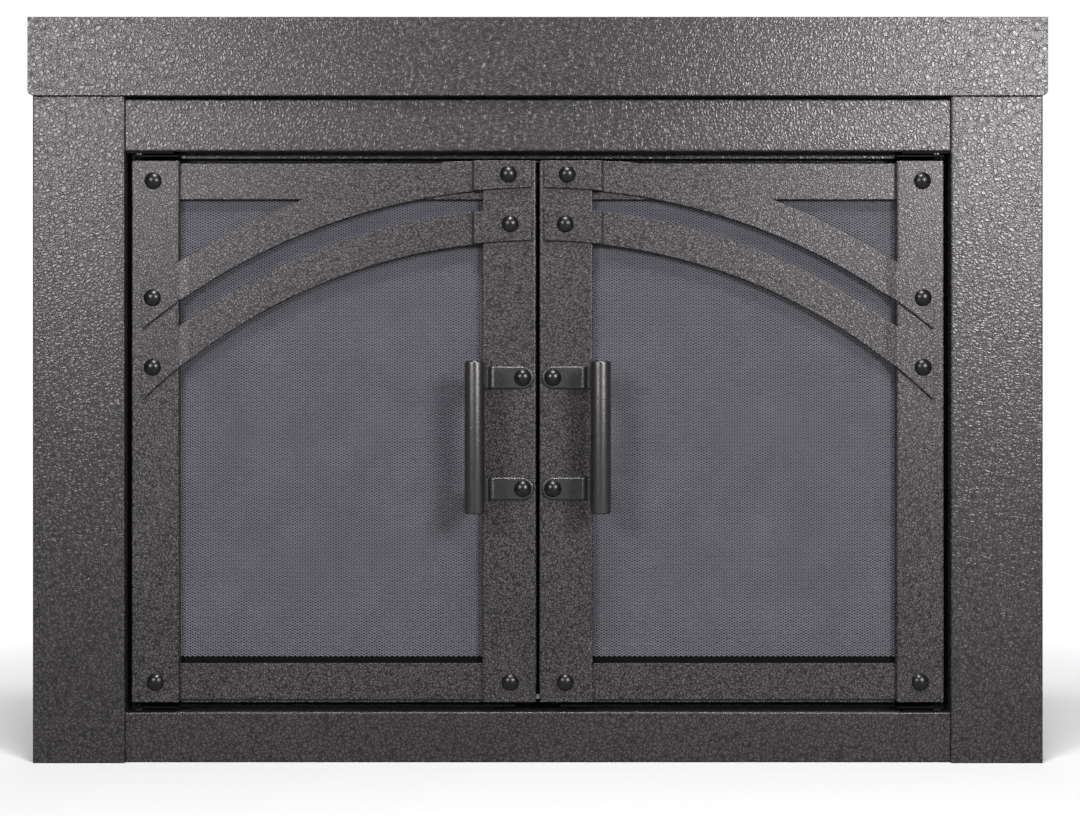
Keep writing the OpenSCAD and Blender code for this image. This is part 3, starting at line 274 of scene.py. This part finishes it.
def add_relief(tree, shader, height, depth, ground=None):
    """Gives a shader the relief height * depth, on top of the normals of ground if there are any."""
    relief = tree.nodes.new("ShaderNodeBump")
    relief.inputs["Strength"].default_value = 1.0
    relief.inputs["Distance"].default_value = depth
    if ground is not None:
        tree.links.new(ground, relief.inputs["Normal"])
    tree.links.new(height, relief.inputs["Height"])
    tree.links.new(relief.outputs["Normal"], shader.inputs["Normal"])


def textured_coat(name, dark, light, edge, scale, warp, depth, rough, fleck_low, fleck_high,
                  gloss=0.5):
    """Powder coat that dries in small cells with thin dark seams, which lie lowest in the relief. The
    cells are random, scale to the metre, and their places are shifted by warp / scale * noise, which
    bends the seams. The distance from the seam, from fleck_low to fleck_high, takes the tone from
    dark to light, and a slow noise varies it: the seams' dark is partly the coat's own colour and
    partly painted shade in these recesses. The same cells and a fine grain give the relief, and the
    seams are rougher than the cells. The paint rounds every edge by the radius edge."""
    mat, tree, shader = new_material(name)
    place = coordinates(tree, "Object")
    offset = cell_depth(tree, bent(tree, place, scale, warp), scale)
    # Dark seams and light cell tops: partly the coat's own colour, partly painted shade in the
    # recessed seams
    tops = spread(tree, offset, fleck_low, fleck_high)
    slow = noise(tree, place, DRIFT_SCALE, detail=2.0)
    drift = spread(tree, slow, NOISE_LOW, NOISE_HIGH, DRIFT_LOW, DRIFT_HIGH)
    lit = math_node(tree, "MULTIPLY", tops, drift)
    tree.links.new(two_tone(tree, lit, dark, light), shader.inputs["Base Color"])
    roughness = spread(tree, tops, 0.0, 1.0, rough + SEAM_ROUGH, rough)
    tree.links.new(roughness, shader.inputs["Roughness"])
    cells = spread(tree, offset, 0.0, CELL_RISE)
    grain = noise(tree, place, scale * GRAIN_SCALE, detail=1.0, distortion=0.3)
    height = math_node(tree, "ADD", cells, math_node(tree, "MULTIPLY", grain, GRAIN_SHARE))
    rounded = tree.nodes.new("ShaderNodeBevel")
    rounded.samples = BEVEL_SAMPLES
    rounded.inputs["Radius"].default_value = edge
    add_relief(tree, shader, height, depth, rounded.outputs["Normal"])
    shader.inputs["Specular Tint"].default_value = GLOSS_TINT
    shader.inputs["Specular IOR Level"].default_value = gloss
    return mat


def fine_metal(name, tone, rough, scale, depth, worn, metallic=0.0, gloss=0.5):
    """Plain metal or a thin finish. A fine noise, scale to the metre, gives the relief and varies the
    roughness, and slow patches are brighter by the factor worn."""
    mat, tree, shader = new_material(name)
    place = coordinates(tree, "Object")
    grain = noise(tree, place, scale, detail=3.0, rough=0.6)
    slow = noise(tree, place, scale / PATCH_SIZE, detail=2.0, rough=0.6)
    patches = spread(tree, slow, PATCH_LOW, PATCH_HIGH)
    bright = tuple(min(1.0, c * worn) for c in tone)
    tree.links.new(two_tone(tree, patches, tone, bright), shader.inputs["Base Color"])
    roughness = spread(
        tree, grain, NOISE_LOW, NOISE_HIGH, rough - GRAIN_SMOOTHER, rough + GRAIN_ROUGHER)
    tree.links.new(roughness, shader.inputs["Roughness"])
    add_relief(tree, shader, grain, depth)
    shader.inputs["Metallic"].default_value = metallic
    shader.inputs["Specular Tint"].default_value = GLOSS_TINT
    shader.inputs["Specular IOR Level"].default_value = gloss
    return mat


def smoked_glass(name, tone):
    """Dark tinted glass, with a little unevenness in its gloss and tint."""
    mat, tree, shader = new_material(name)
    slow = noise(tree, coordinates(tree, "Object"), GLASS_SCALE, detail=1.0)
    lighter = tuple(c * GLASS_LIGHTER for c in tone)
    tree.links.new(two_tone(tree, slow, tone, lighter), shader.inputs["Base Color"])
    roughness = spread(tree, slow, NOISE_LOW, NOISE_HIGH, GLASS_SMOOTH, GLASS_ROUGH)
    tree.links.new(roughness, shader.inputs["Roughness"])
    shader.inputs["Transmission Weight"].default_value = 1.0
    shader.inputs["IOR"].default_value = GLASS_IOR
    return mat


def make_materials(scene):
    """A material for each of the record's slots, and one for the handles."""
    coat, screen, hardware = scene.hearth_coat, scene.hearth_screen, scene.hearth_hardware
    return {
        "hammered_coat": textured_coat(
            "hammered_coat", coat.frame_tone, coat.frame_fleck, coat.edge_round,
            scale=240, warp=1.5, depth=0.00019, rough=0.31, fleck_low=0.02, fleck_high=0.24),
        "speckled_coat": textured_coat(
            "speckled_coat", coat.door_tone, coat.door_fleck, coat.bar_round,
            scale=340, warp=1.4, depth=0.00012, rough=0.31, fleck_low=0.03, fleck_high=0.27,
            gloss=0.40),
        "handle_coat": textured_coat(
            "handle_coat", coat.handle_tone, coat.handle_fleck, coat.edge_round,
            scale=400, warp=1.0, depth=0.00008, rough=0.29, fleck_low=0.02, fleck_high=0.3,
            gloss=0.85),
        "mesh_coat": fine_metal(
            "mesh_coat", screen.strand_tone, rough=0.6, scale=900, depth=0.0001, worn=1.15,
            gloss=0.15),
        "black_coat": fine_metal(
            "black_coat", BLACK_TONE, rough=0.6, scale=1200, depth=0.0001, worn=1.5, gloss=0.06),
        "black_oxide": fine_metal(
            "black_oxide", hardware.oxide_tone, rough=0.30, scale=1500, depth=0.00003, worn=1.6,
            gloss=0.42),
        "zinc": fine_metal(
            "zinc", ZINC_TONE, rough=0.32, scale=800, depth=0.00005, worn=1.25, metallic=1.0),
        "smoked_glass": smoked_glass("smoked_glass", hardware.glass_tone),
    }


MATERIALS = {}


def finish_piece(piece, body, slot, *nodes, material=None):
    """Gives a piece its finish, the given material or else that of its slot, and its body, and hides
    the CAD nodes that it stands for.
    """
    piece.data.materials.clear()
    piece.data.materials.append(material or MATERIALS[slot])
    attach(piece, body)
    if nodes:
        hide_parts(*nodes)
    return piece


# Meshes

# Corners of a mesh nearer than this are one
MERGE_DIST = 1e-7


def piece_from(name, points, faces):
    """A new object at the origin from an array of points and lists of faces."""
    mesh = bpy.data.meshes.new(name)
    mesh.from_pydata(points.tolist(), [], faces)
    mesh.update()
    piece = bpy.data.objects.new(name, mesh)
    bpy.context.scene.collection.objects.link(piece)
    return piece


def turned(profile, sides, centre, axis):
    """A closed turned shape. Each profile pair (along, radius) is carried round the axis: the point
    at angle a is centre + along * axis + radius * (cos a * u + sin a * v), with u and v square to
    the axis. The first and last pairs have radius 0 and become the two poles."""
    axis = np.array(axis, float)
    upright = abs(axis[2]) > 0.9
    u = np.array((1.0, 0.0, 0.0) if upright else (0.0, 0.0, 1.0))
    v = np.cross(axis, u)
    along, radius = np.array(profile[1:-1]).T
    a = np.arange(sides) * 2 * math.pi / sides
    ring = np.cos(a)[:, None] * u + np.sin(a)[:, None] * v
    body = along[:, None, None] * axis + radius[:, None, None] * ring[None]
    poles = np.array((profile[0][0], profile[-1][0]))[:, None] * axis
    points = np.vstack((body.reshape(-1, 3), poles)) + np.array(centre, float)
    rows = len(along)
    i, j = np.meshgrid(np.arange(rows - 1), np.arange(sides), indexing="ij")
    k = (j + 1) % sides
    quads = np.stack((i * sides + j, i * sides + k, (i + 1) * sides + k, (i + 1) * sides + j), -1)
    s, t = np.arange(sides), (np.arange(sides) + 1) % sides
    first = np.stack((np.full(sides, rows * sides), t, s), -1)
    last = np.stack(
        (np.full(sides, rows * sides + 1), (rows - 1) * sides + s, (rows - 1) * sides + t), -1)
    return points, quads.reshape(-1, 4).tolist() + first.tolist() + last.tolist()


def joined(parts):
    """Several (points, faces) shapes as one pair."""
    points, faces, start = [], [], 0
    for p, f in parts:
        points.append(p)
        faces += [[n + start for n in face] for face in f]
        start += len(p)
    return np.vstack(points), faces


def outwards(piece):
    """Turns a closed mesh's faces outwards."""
    bm = bmesh.new()
    bm.from_mesh(piece.data)
    bmesh.ops.recalc_face_normals(bm, faces=bm.faces)
    bm.to_mesh(piece.data)
    bm.free()
    return piece


def closed(piece):
    """Merges the corners that coincide, and turns the faces outwards."""
    bm = bmesh.new()
    bm.from_mesh(piece.data)
    bmesh.ops.remove_doubles(bm, verts=bm.verts, dist=MERGE_DIST)
    bm.to_mesh(piece.data)
    bm.free()
    return outwards(piece)


def smooth(piece, angle):
    """Smooth shading, broken where faces meet at more than the angle in degrees."""
    piece.data.shade_smooth()
    piece.data.set_sharp_from_angle(angle=math.radians(angle))
    return piece


def strands(x0, x1, z0, z1, y0, width, height, strand_w, strand_t, first_band):
    """Diamond mesh as zigzag strands. Band k climbs from z0 + k h / 2 by h / 2 and falls again over
    each diamond's width, and every second band starts at its top, so that the bands touch at the
    corners. Each strand is a three-sided rod: two edges at the back, strand_w apart measured square
    to its run, and one edge in front."""
    half = height / 2
    bands = int(round((z1 - z0) / half))
    steps = int(round((x1 - x0) / (width / 2)))
    x = np.linspace(x0, x1, steps + 1)
    k, i = np.meshgrid(np.arange(bands), np.arange(steps + 1), indexing="ij")
    z = z0 + k * half + half * ((i + k + first_band) % 2)
    reach = strand_w / 2 * math.hypot(width / 2, half) / (width / 2)
    xs = np.broadcast_to(x, z.shape)
    corners = ((-reach, strand_t), (reach, strand_t), (0.0, 0.0))
    points = np.stack(
        [np.stack((xs, np.full(z.shape, y0 + dy), z + dz), -1) for dz, dy in corners], 2)
    per = (steps + 1) * 3
    start = k[:, :-1] * per + i[:, :-1] * 3
    faces = []
    for a, b in ((0, 1), (1, 2), (2, 0)):
        faces.append(np.stack((start + a, start + b, start + 3 + b, start + 3 + a), -1).reshape(-1, 4))
    quads = np.vstack(faces)
    ends = np.concatenate((
        np.stack((k[:, 0] * per, k[:, 0] * per + 2, k[:, 0] * per + 1), -1),
        np.stack((k[:, 0] * per + per - 3, k[:, 0] * per + per - 2, k[:, 0] * per + per - 1), -1)))
    return points.reshape(-1, 3), quads.tolist() + ends.tolist()


# Operators

class HEARTH_OT_materials(bpy.types.Operator):
    """Makes the finishes and gives each CAD node the one of its slot"""

    bl_idname = "hearth.materials"
    bl_label = "Finishes"

    def execute(self, context):
        MATERIALS.update(make_materials(context.scene))
        for entry in frame["record"]["subparts"]:
            node, finish = entry["node"], entry["material_slot"]
            # The hinge washers show no bright metal, so they are blackened like the bolts
            if node == "hinge_washers":
                finish = "black_oxide"
            data = frame["nodes"][node].data
            data.materials.clear()
            data.materials.append(MATERIALS[finish])
        return {"FINISHED"}


# Height that the mesh leaves free at its top and bottom together, in strand widths
STRAND_ROOM = 1.2


class HEARTH_OT_mesh_screens(bpy.types.Operator):
    """The fine diamond mesh of both doors, in an upper and a lower piece"""

    bl_idname = "hearth.mesh_screens"
    bl_label = "Mesh screens"

    def execute(self, context):
        s = context.scene.hearth_screen
        for side in SIDES:
            node = side + "_mesh_panel"
            lo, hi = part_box(node)
            half = s.diamond_h / 2
            bands = int((hi.z - lo.z - s.strand_w * STRAND_ROOM) / half)
            base = (lo.z + hi.z - bands * half) / 2
            split = bands // 2
            for first, last, word in ((0, split, "lower"), (split, bands, "upper")):
                points, faces = strands(
                    lo.x, hi.x, base + first * half, base + last * half, lo.y,
                    s.diamond_w, s.diamond_h, s.strand_w, s.strand_t, first)
                piece = outwards(piece_from(f"{side}_{word}_mesh", points, faces))
                finish_piece(piece, BODIES[node], "mesh_coat", node)
        return {"FINISHED"}


# The left door's dome bolts: x, z, and the y of the face that the head sits on. The last is the
# lower bolt of the handle
BOLTS = (
    (-0.4180, 0.63240, -0.0230), (-0.4155, 0.08760, -0.0230), (-0.4180, 0.50512, -0.0260),
    (-0.4180, 0.42967, -0.0260), (-0.0319, 0.63912, -0.0260), (-0.0299, 0.58530, -0.0260),
    (-0.0299, 0.08760, -0.0230), (-0.0164, 0.41854, -0.0260), (-0.0164, 0.29794, -0.0260),
)
SHANK_R = 0.003
# Height of a bolt head's straight rim, and the size of the broken edge under it
HEAD_RIM, HEAD_EDGE = 0.0006, 0.0001
BOLT_SIDES = 36


def dome_profile(radius, height, rim, broken):
    """A low dome on a short rim: the part of a ball of radius (r^2 + h^2) / 2h that stands over the
    rim, with h the dome's own height, then the rim's straight side and its broken edge at the
    seat."""
    top = height - rim
    ball = (radius * radius + top * top) / (2 * top)
    a = np.linspace(0, math.asin(radius / ball), 12)
    dome = [(-(height - ball + ball * math.cos(t)), ball * math.sin(t)) for t in a]
    dome[-1] = (-rim, radius)
    return dome + [(-broken, radius), (0.0, radius - broken)]


class HEARTH_OT_dome_bolts(bpy.types.Operator):
    """Domed bolts that hold the arch bars, the corners and the handle straps: heads and shanks"""

    bl_idname = "hearth.dome_bolts"
    bl_label = "Dome bolts"

    def execute(self, context):
        h = context.scene.hearth_hardware
        for side in SIDES:
            flip = 1 if side == "left" else -1
            node = side + "_dome_bolts"
            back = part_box(node)[1].y
            head = dome_profile(h.dome_r, h.dome_h, HEAD_RIM, HEAD_EDGE)
            parts = []
            for x, z, seat in BOLTS:
                profile = [(seat + a, r) for a, r in head]
                profile += [(seat, SHANK_R), (back, SHANK_R), (back, 0.0)]
                parts.append(turned(profile, BOLT_SIDES, (x * flip, 0.0, z), (0, 1, 0)))
            piece = outwards(piece_from(side + "_bolt_heads", *joined(parts)))
            smooth(piece, 50)
            finish_piece(piece, BODIES[node], "black_oxide", node)
        return {"FINISHED"}


# Size of the small broken edge at a handle strap's back, and beyond the rounded one at its front
STRAP_BROKEN = 0.0003


def bent_strap(leg_x, leg_y, seat_y, bolt_x, z, height, thick, bend_r, edge, broken):
    """A flat strap with one round end and rounded edges, bent square beside the tube. Each level of
    its section is the outline of the blank, drawn in by s at the depth w; on the round end the level
    is a half circle of radius height / 2 - s about the bolt. The blank's length u and depth w then
    go round the bend: leg (c - (R - w), start + u), arc c + (R - w) * (-cos a, sin a), and plate
    (c + u, c + R - w)."""
    t = np.linspace(0, math.pi / 2, 6)
    w = np.concatenate(((0.0, broken, thick - edge), thick - edge + edge * np.sin(t[1:]), (thick,)))
    s = np.concatenate(((broken, 0.0, 0.0), edge * (1 - np.cos(t[1:])), (edge + broken,)))
    back_r = bend_r + thick
    cx, cy = leg_x + back_r, seat_y - back_r
    leg, mid_r = cy - leg_y, bend_r + thick / 2
    arc = mid_r * math.pi / 2
    plate = bolt_x - cx
    run = np.concatenate((
        np.linspace(0, leg, 4), leg + np.linspace(0, arc, 15)[1:],
        leg + arc + np.linspace(0, plate, 5)[1:]))
    turn = np.linspace(0, math.pi / 2, 19)[1:]
    r = height / 2 - s[None]
    u = np.vstack((np.repeat(run[:, None], len(s), 1), leg + arc + plate + r * np.sin(turn)[:, None]))
    half = np.vstack((np.repeat(r, len(run), 0), r * np.cos(turn)[:, None]))
    a = np.clip((u - leg) / mid_r, 0, math.pi / 2)
    x = cx - (back_r - w) * np.cos(a) + np.maximum(u - leg - arc, 0)
    y = cy + (back_r - w) * np.sin(a) + np.minimum(u - leg, 0)
    upper = np.stack((x, y, z + half), -1)
    lower = np.stack((x, y, z - half), -1)[:, ::-1]
    points = np.concatenate((upper, lower), 1)
    rows, per = points.shape[:2]
    i, j = np.meshgrid(np.arange(rows - 1), np.arange(per), indexing="ij")
    k = (j + 1) % per
    quads = np.stack((i * per + j, i * per + k, (i + 1) * per + k, (i + 1) * per + j), -1)
    return points.reshape(-1, 3), quads.reshape(-1, 4).tolist() + [list(range(per))]


class HEARTH_OT_handle_straps(bpy.types.Operator):
    """The two bent straps of each handle, with the rounded edges that catch the light"""

    bl_idname = "hearth.handle_straps"
    bl_label = "Handle straps"

    def execute(self, context):
        h = context.scene.hearth_hardware
        lo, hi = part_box("left_handle_straps")
        tube_lo, tube_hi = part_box("left_handle_tube")
        bolt_x = BOLTS[-1][0]
        height = 2 * (hi.x - bolt_x)
        for side in SIDES:
            node = side + "_handle_straps"
            # The right door's straps are the mirror image of the left one's
            flip = 1 if side == "left" else -1
            parts = []
            for z in (lo.z + height / 2, hi.z - height / 2):
                points, faces = bent_strap(
                    tube_hi.x, (tube_lo.y + tube_hi.y) / 2, hi.y, bolt_x, z, height,
                    h.strap_t, h.strap_bend_r, h.strap_edge_r, STRAP_BROKEN)
                parts.append((points * (flip, 1, 1), faces))
            piece = closed(piece_from(side + "_bent_straps", *joined(parts)))
            smooth(piece, 50)
            finish_piece(piece, BODIES[node], "speckled_coat", node,
                         material=MATERIALS["handle_coat"])
        return {"FINISHED"}


# Radius of the rounded edge at a handle tube's ends
BAR_EDGE_R = 0.0025
BAR_SIDES = 64


class HEARTH_OT_handles(bpy.types.Operator):
    """The round handle tubes with their rounded ends"""

    bl_idname = "hearth.handles"
    bl_label = "Handles"

    def execute(self, context):
        for side in SIDES:
            lo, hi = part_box(side + "_handle_tube")
            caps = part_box(side + "_handle_caps")
            r = (hi.x - lo.x) / 2
            z0, z1, edge = caps[0].z, caps[1].z, BAR_EDGE_R
            a = np.linspace(0, math.pi / 2, 7)
            low = [(z0 + edge - edge * math.cos(t), r - edge + edge * math.sin(t)) for t in a]
            high = [(z1 - edge + edge * math.sin(t), r - edge + edge * math.cos(t)) for t in a]
            profile = [(z0, 0.0)] + low + high + [(z1, 0.0)]
            centre = ((lo.x + hi.x) / 2, (lo.y + hi.y) / 2, 0.0)
            shape = turned(profile, BAR_SIDES, centre, (0, 0, 1))
            piece = outwards(piece_from(side + "_handle_bar", *shape))
            smooth(piece, 60)
            node = side + "_handle_tube"
            finish_piece(piece, BODIES[node], "speckled_coat", node, side + "_handle_caps",
                         material=MATERIALS["handle_coat"])
        return {"FINISHED"}


# Stage

WHITE = (1.0, 1.0, 1.0, 1.0)
# The camera's place across, and how far the doors' faces stand in front of the frame's middle
CAMERA_X, FACE_DEPTH = 0.0024, 0.025
# Millimetres of the object to a pixel at the doors' faces, the picture's width in pixels, and the
# sensor's width in millimetres
MM_PER_PIXEL, PICTURE_WIDTH, SENSOR_WIDTH = 1.0851, 1080, 36.0
CLIP_NEAR, CLIP_FAR = 0.05, 60
# The point that all softboxes are turned to, and each one's place, width and height
LAMP_AIM = (0, 0, 0.42)
RIGHT_LAMP = (1.28, -2.04, 1.22), 0.6, 0.6
LEFT_LAMP = (-1.28, -2.04, 1.22), 0.6, 0.6
TOP_LAMP = (0, -1.0, 2.9), 0.8, 0.4
BACK_LAMP = (0, 1.6, 2.6), 1.6, 0.8
BACK_POWER = 16
# Directions in which a gloss sees the white backdrop: how far back they point, from none to full
BACKDROP_LOW, BACKDROP_FULL = -0.1, 0.3
# The floor's paint as the object sees it and as the camera sees it
FLOOR_DARK, FLOOR_PALE = (0.3, 0.3, 0.3), (0.6, 0.6, 0.6)
FLOOR_ROUGH = 0.9
# Distances from the object over which the floor turns to white, and its half width
FLOOR_NEAR, FLOOR_FAR, FLOOR_REACH = 0.55, 1.2, 6
# Distance behind the frame's middle at which a gloss sees the floor as full white
FLOOR_BEHIND = 0.3
# The card of painted shade in the opening, for the shaded firebox behind the doors: colour,
# half width, depth, lower and upper edge
SHADE_CARD_TONE = (0.004, 0.004, 0.004)
CARD_X, CARD_Y, CARD_LOW, CARD_HIGH = 0.467, 0.04, 0.001, 0.80


def ray_kind(tree, kind):
    """1 for one kind of ray, and 0 for all others."""
    return tree.nodes.new("ShaderNodeLightPath").outputs[kind]


def seen_rays(tree):
    """1 for what the camera sees itself, in a gloss or through glass, and 0 for other light."""
    gloss = math_node(
        tree, "MAXIMUM", ray_kind(tree, "Is Glossy Ray"), ray_kind(tree, "Is Transmission Ray"))
    return math_node(tree, "MAXIMUM", ray_kind(tree, "Is Camera Ray"), gloss)


def backdrop_rays(tree, behind):
    """1 for the camera's own rays, the value behind in a gloss or through glass, and 0 for others."""
    gloss = math_node(tree, "MULTIPLY", seen_rays(tree), behind)
    return math_node(tree, "MAXIMUM", ray_kind(tree, "Is Camera Ray"), gloss)


def back_part(tree, vector):
    """The part of a vector that points back, along y."""
    split = tree.nodes.new("ShaderNodeSeparateXYZ")
    tree.links.new(vector, split.inputs[0])
    return split.outputs["Y"]


def mix_shaders(tree, fac, first, second, output):
    """Gives an output the first shader where fac is 0 and the second where it is 1."""
    mix = tree.nodes.new("ShaderNodeMixShader")
    tree.links.new(fac, mix.inputs["Fac"])
    tree.links.new(first, mix.inputs[1])
    tree.links.new(second, mix.inputs[2])
    tree.links.new(mix.outputs[0], tree.nodes[output].inputs["Surface"])


def make_camera(scene, s):
    """A level camera straight in front, with the lens that gives the picture's scale."""
    cam = bpy.data.cameras.new("Camera")
    cam.sensor_width = SENSOR_WIDTH
    cam.lens = (s.camera_dist - FACE_DEPTH) / MM_PER_PIXEL * 1000 * SENSOR_WIDTH / PICTURE_WIDTH
    cam.clip_start, cam.clip_end = CLIP_NEAR, CLIP_FAR
    view = bpy.data.objects.new("Camera", cam)
    view.location = (CAMERA_X, -s.camera_dist, s.camera_z)
    view.rotation_euler = (math.pi / 2, 0, 0)
    scene.collection.objects.link(view)
    scene.camera = view


def soft_light(name, power, place, width, height):
    """A rectangular white softbox at a place, turned to LAMP_AIM."""
    lamp = bpy.data.lights.new(name, "AREA")
    lamp.shape = "RECTANGLE"
    lamp.size, lamp.size_y = width, height
    lamp.energy = power
    item = bpy.data.objects.new(name, lamp)
    item.location = place
    item.rotation_mode = "QUATERNION"
    item.rotation_quaternion = (Vector(LAMP_AIM) - Vector(place)).to_track_quat("-Z", "Y")
    bpy.context.scene.collection.objects.link(item)


def make_lights(s):
    """Softboxes in front to the right and left, high in front of the doors, and behind the header."""
    soft_light("Right_softbox", s.key_power, *RIGHT_LAMP)
    soft_light("Left_softbox", s.fill_power, *LEFT_LAMP)
    soft_light("Top_softbox", s.top_power, *TOP_LAMP)
    soft_light("Back_softbox", BACK_POWER, *BACK_LAMP)


def make_surroundings(scene, ambient):
    """Soft light from all round. The camera sees plain white in its place, and so does a gloss or
    glass in the directions where the backdrop stands."""
    world = bpy.data.worlds.new("Surroundings")
    scene.world = world
    world.use_nodes = True
    tree = world.node_tree
    ground = tree.nodes["Background"]
    ground.inputs["Color"].default_value = WHITE
    ground.inputs["Strength"].default_value = ambient
    plain = tree.nodes.new("ShaderNodeBackground")
    plain.inputs["Color"].default_value = WHITE
    plain.inputs["Strength"].default_value = 1.0
    towards = back_part(tree, coordinates(tree, "Generated"))
    behind = spread(tree, towards, BACKDROP_LOW, BACKDROP_FULL)
    mix_shaders(
        tree, backdrop_rays(tree, behind), ground.outputs[0], plain.outputs[0], "World Output")
    scene.view_settings.view_transform = "Standard"


def make_floor():
    """A pale floor that keeps the shadow near the object, and is plain white further off."""
    floor, tree, shader = new_material("pale_floor")
    paint = two_tone(tree, ray_kind(tree, "Is Camera Ray"), FLOOR_DARK, FLOOR_PALE)
    tree.links.new(paint, shader.inputs["Base Color"])
    shader.inputs["Roughness"].default_value = FLOOR_ROUGH
    place = coordinates(tree, "Object")
    length = tree.nodes.new("ShaderNodeVectorMath")
    length.operation = "LENGTH"
    tree.links.new(place, length.inputs[0])
    far = spread(tree, length.outputs["Value"], FLOOR_NEAR, FLOOR_FAR)
    behind = spread(tree, back_part(tree, place), 0.0, FLOOR_BEHIND)
    fac = math_node(tree, "MULTIPLY", far, backdrop_rays(tree, behind))
    white = tree.nodes.new("ShaderNodeEmission")
    white.inputs["Strength"].default_value = 1.0
    mix_shaders(tree, fac, shader.outputs[0], white.outputs[0], "Material Output")
    r = FLOOR_REACH
    points = np.array([(-r, -r, 0), (r, -r, 0), (r, r, 0), (-r, r, 0)], float)
    piece = piece_from("Floor", points, [[0, 1, 2, 3]])
    piece.data.materials.append(floor)


def make_shade_card():
    """A dark card of painted shade in the opening, for the shaded firebox behind the doors. Only its
    front is seen, and all other light goes through."""
    dark, tree, shader = new_material("firebox_shade")
    # Painted shade: the near black that the camera sees in the opening
    shader.inputs["Base Color"].default_value = (*SHADE_CARD_TONE, 1)
    shader.inputs["Roughness"].default_value = 1.0
    shader.inputs["Specular IOR Level"].default_value = 0.0
    side = tree.nodes.new("ShaderNodeNewGeometry")
    front = math_node(tree, "LESS_THAN", side.outputs["Backfacing"], 0.5)
    clear = tree.nodes.new("ShaderNodeBsdfTransparent")
    fac = math_node(tree, "MULTIPLY", front, seen_rays(tree))
    mix_shaders(tree, fac, clear.outputs[0], shader.outputs[0], "Material Output")
    x, y = CARD_X, CARD_Y
    points = np.array(
        [(-x, y, CARD_LOW), (x, y, CARD_LOW), (x, y, CARD_HIGH), (-x, y, CARD_HIGH)], float)
    card = piece_from("Firebox_shade", points, [[0, 1, 2, 3]])
    card.data.materials.append(dark)


class HEARTH_OT_stage(bpy.types.Operator):
    """Camera, softboxes, white surroundings, a pale floor and a card of painted shade in the opening
    """

    bl_idname = "hearth.stage"
    bl_label = "Stage"

    def execute(self, context):
        scene, s = context.scene, context.scene.hearth_stage
        make_camera(scene, s)
        make_lights(s)
        make_surroundings(scene, s.ambient)
        make_floor()
        make_shade_card()
        return {"FINISHED"}


class HEARTH_PT_panel(bpy.types.Panel):
    """Lists the steps that dress the fireplace door"""

    bl_idname = "HEARTH_PT_panel"
    bl_label = "Fireplace Door"
    bl_space_type = "VIEW_3D"
    bl_region_type = "UI"
    bl_category = "Hearth"

    def draw(self, context):
        for group in (context.scene.hearth_coat, context.scene.hearth_screen,
                      context.scene.hearth_hardware, context.scene.hearth_stage):
            for name in group.__annotations__:
                self.layout.prop(group, name)
        for step in STEPS:
            self.layout.operator(step.bl_idname)


STEPS = (
    HEARTH_OT_materials,
    HEARTH_OT_mesh_screens,
    HEARTH_OT_dome_bolts,
    HEARTH_OT_handle_straps,
    HEARTH_OT_handles,
    HEARTH_OT_stage,
)
GROUPS = {
    "hearth_coat": CoatSettings,
    "hearth_screen": ScreenSettings,
    "hearth_hardware": HardwareSettings,
    "hearth_stage": StageSettings,
}


def register():
    for name, group in GROUPS.items():
        bpy.utils.register_class(group)
        setattr(bpy.types.Scene, name, bpy.props.PointerProperty(type=group))
    for step in STEPS:
        bpy.utils.register_class(step)
    bpy.utils.register_class(HEARTH_PT_panel)


def unregister():
    bpy.utils.unregister_class(HEARTH_PT_panel)
    for step in reversed(STEPS):
        bpy.utils.unregister_class(step)
    for name, group in GROUPS.items():
        delattr(bpy.types.Scene, name)
        bpy.utils.unregister_class(group)


def main():
    register()
    bpy.ops.hearth.materials()
    bpy.ops.hearth.mesh_screens()
    bpy.ops.hearth.dome_bolts()
    bpy.ops.hearth.handle_straps()
    bpy.ops.hearth.handles()
    bpy.ops.hearth.stage()


if __name__ == "__main__":
    main()
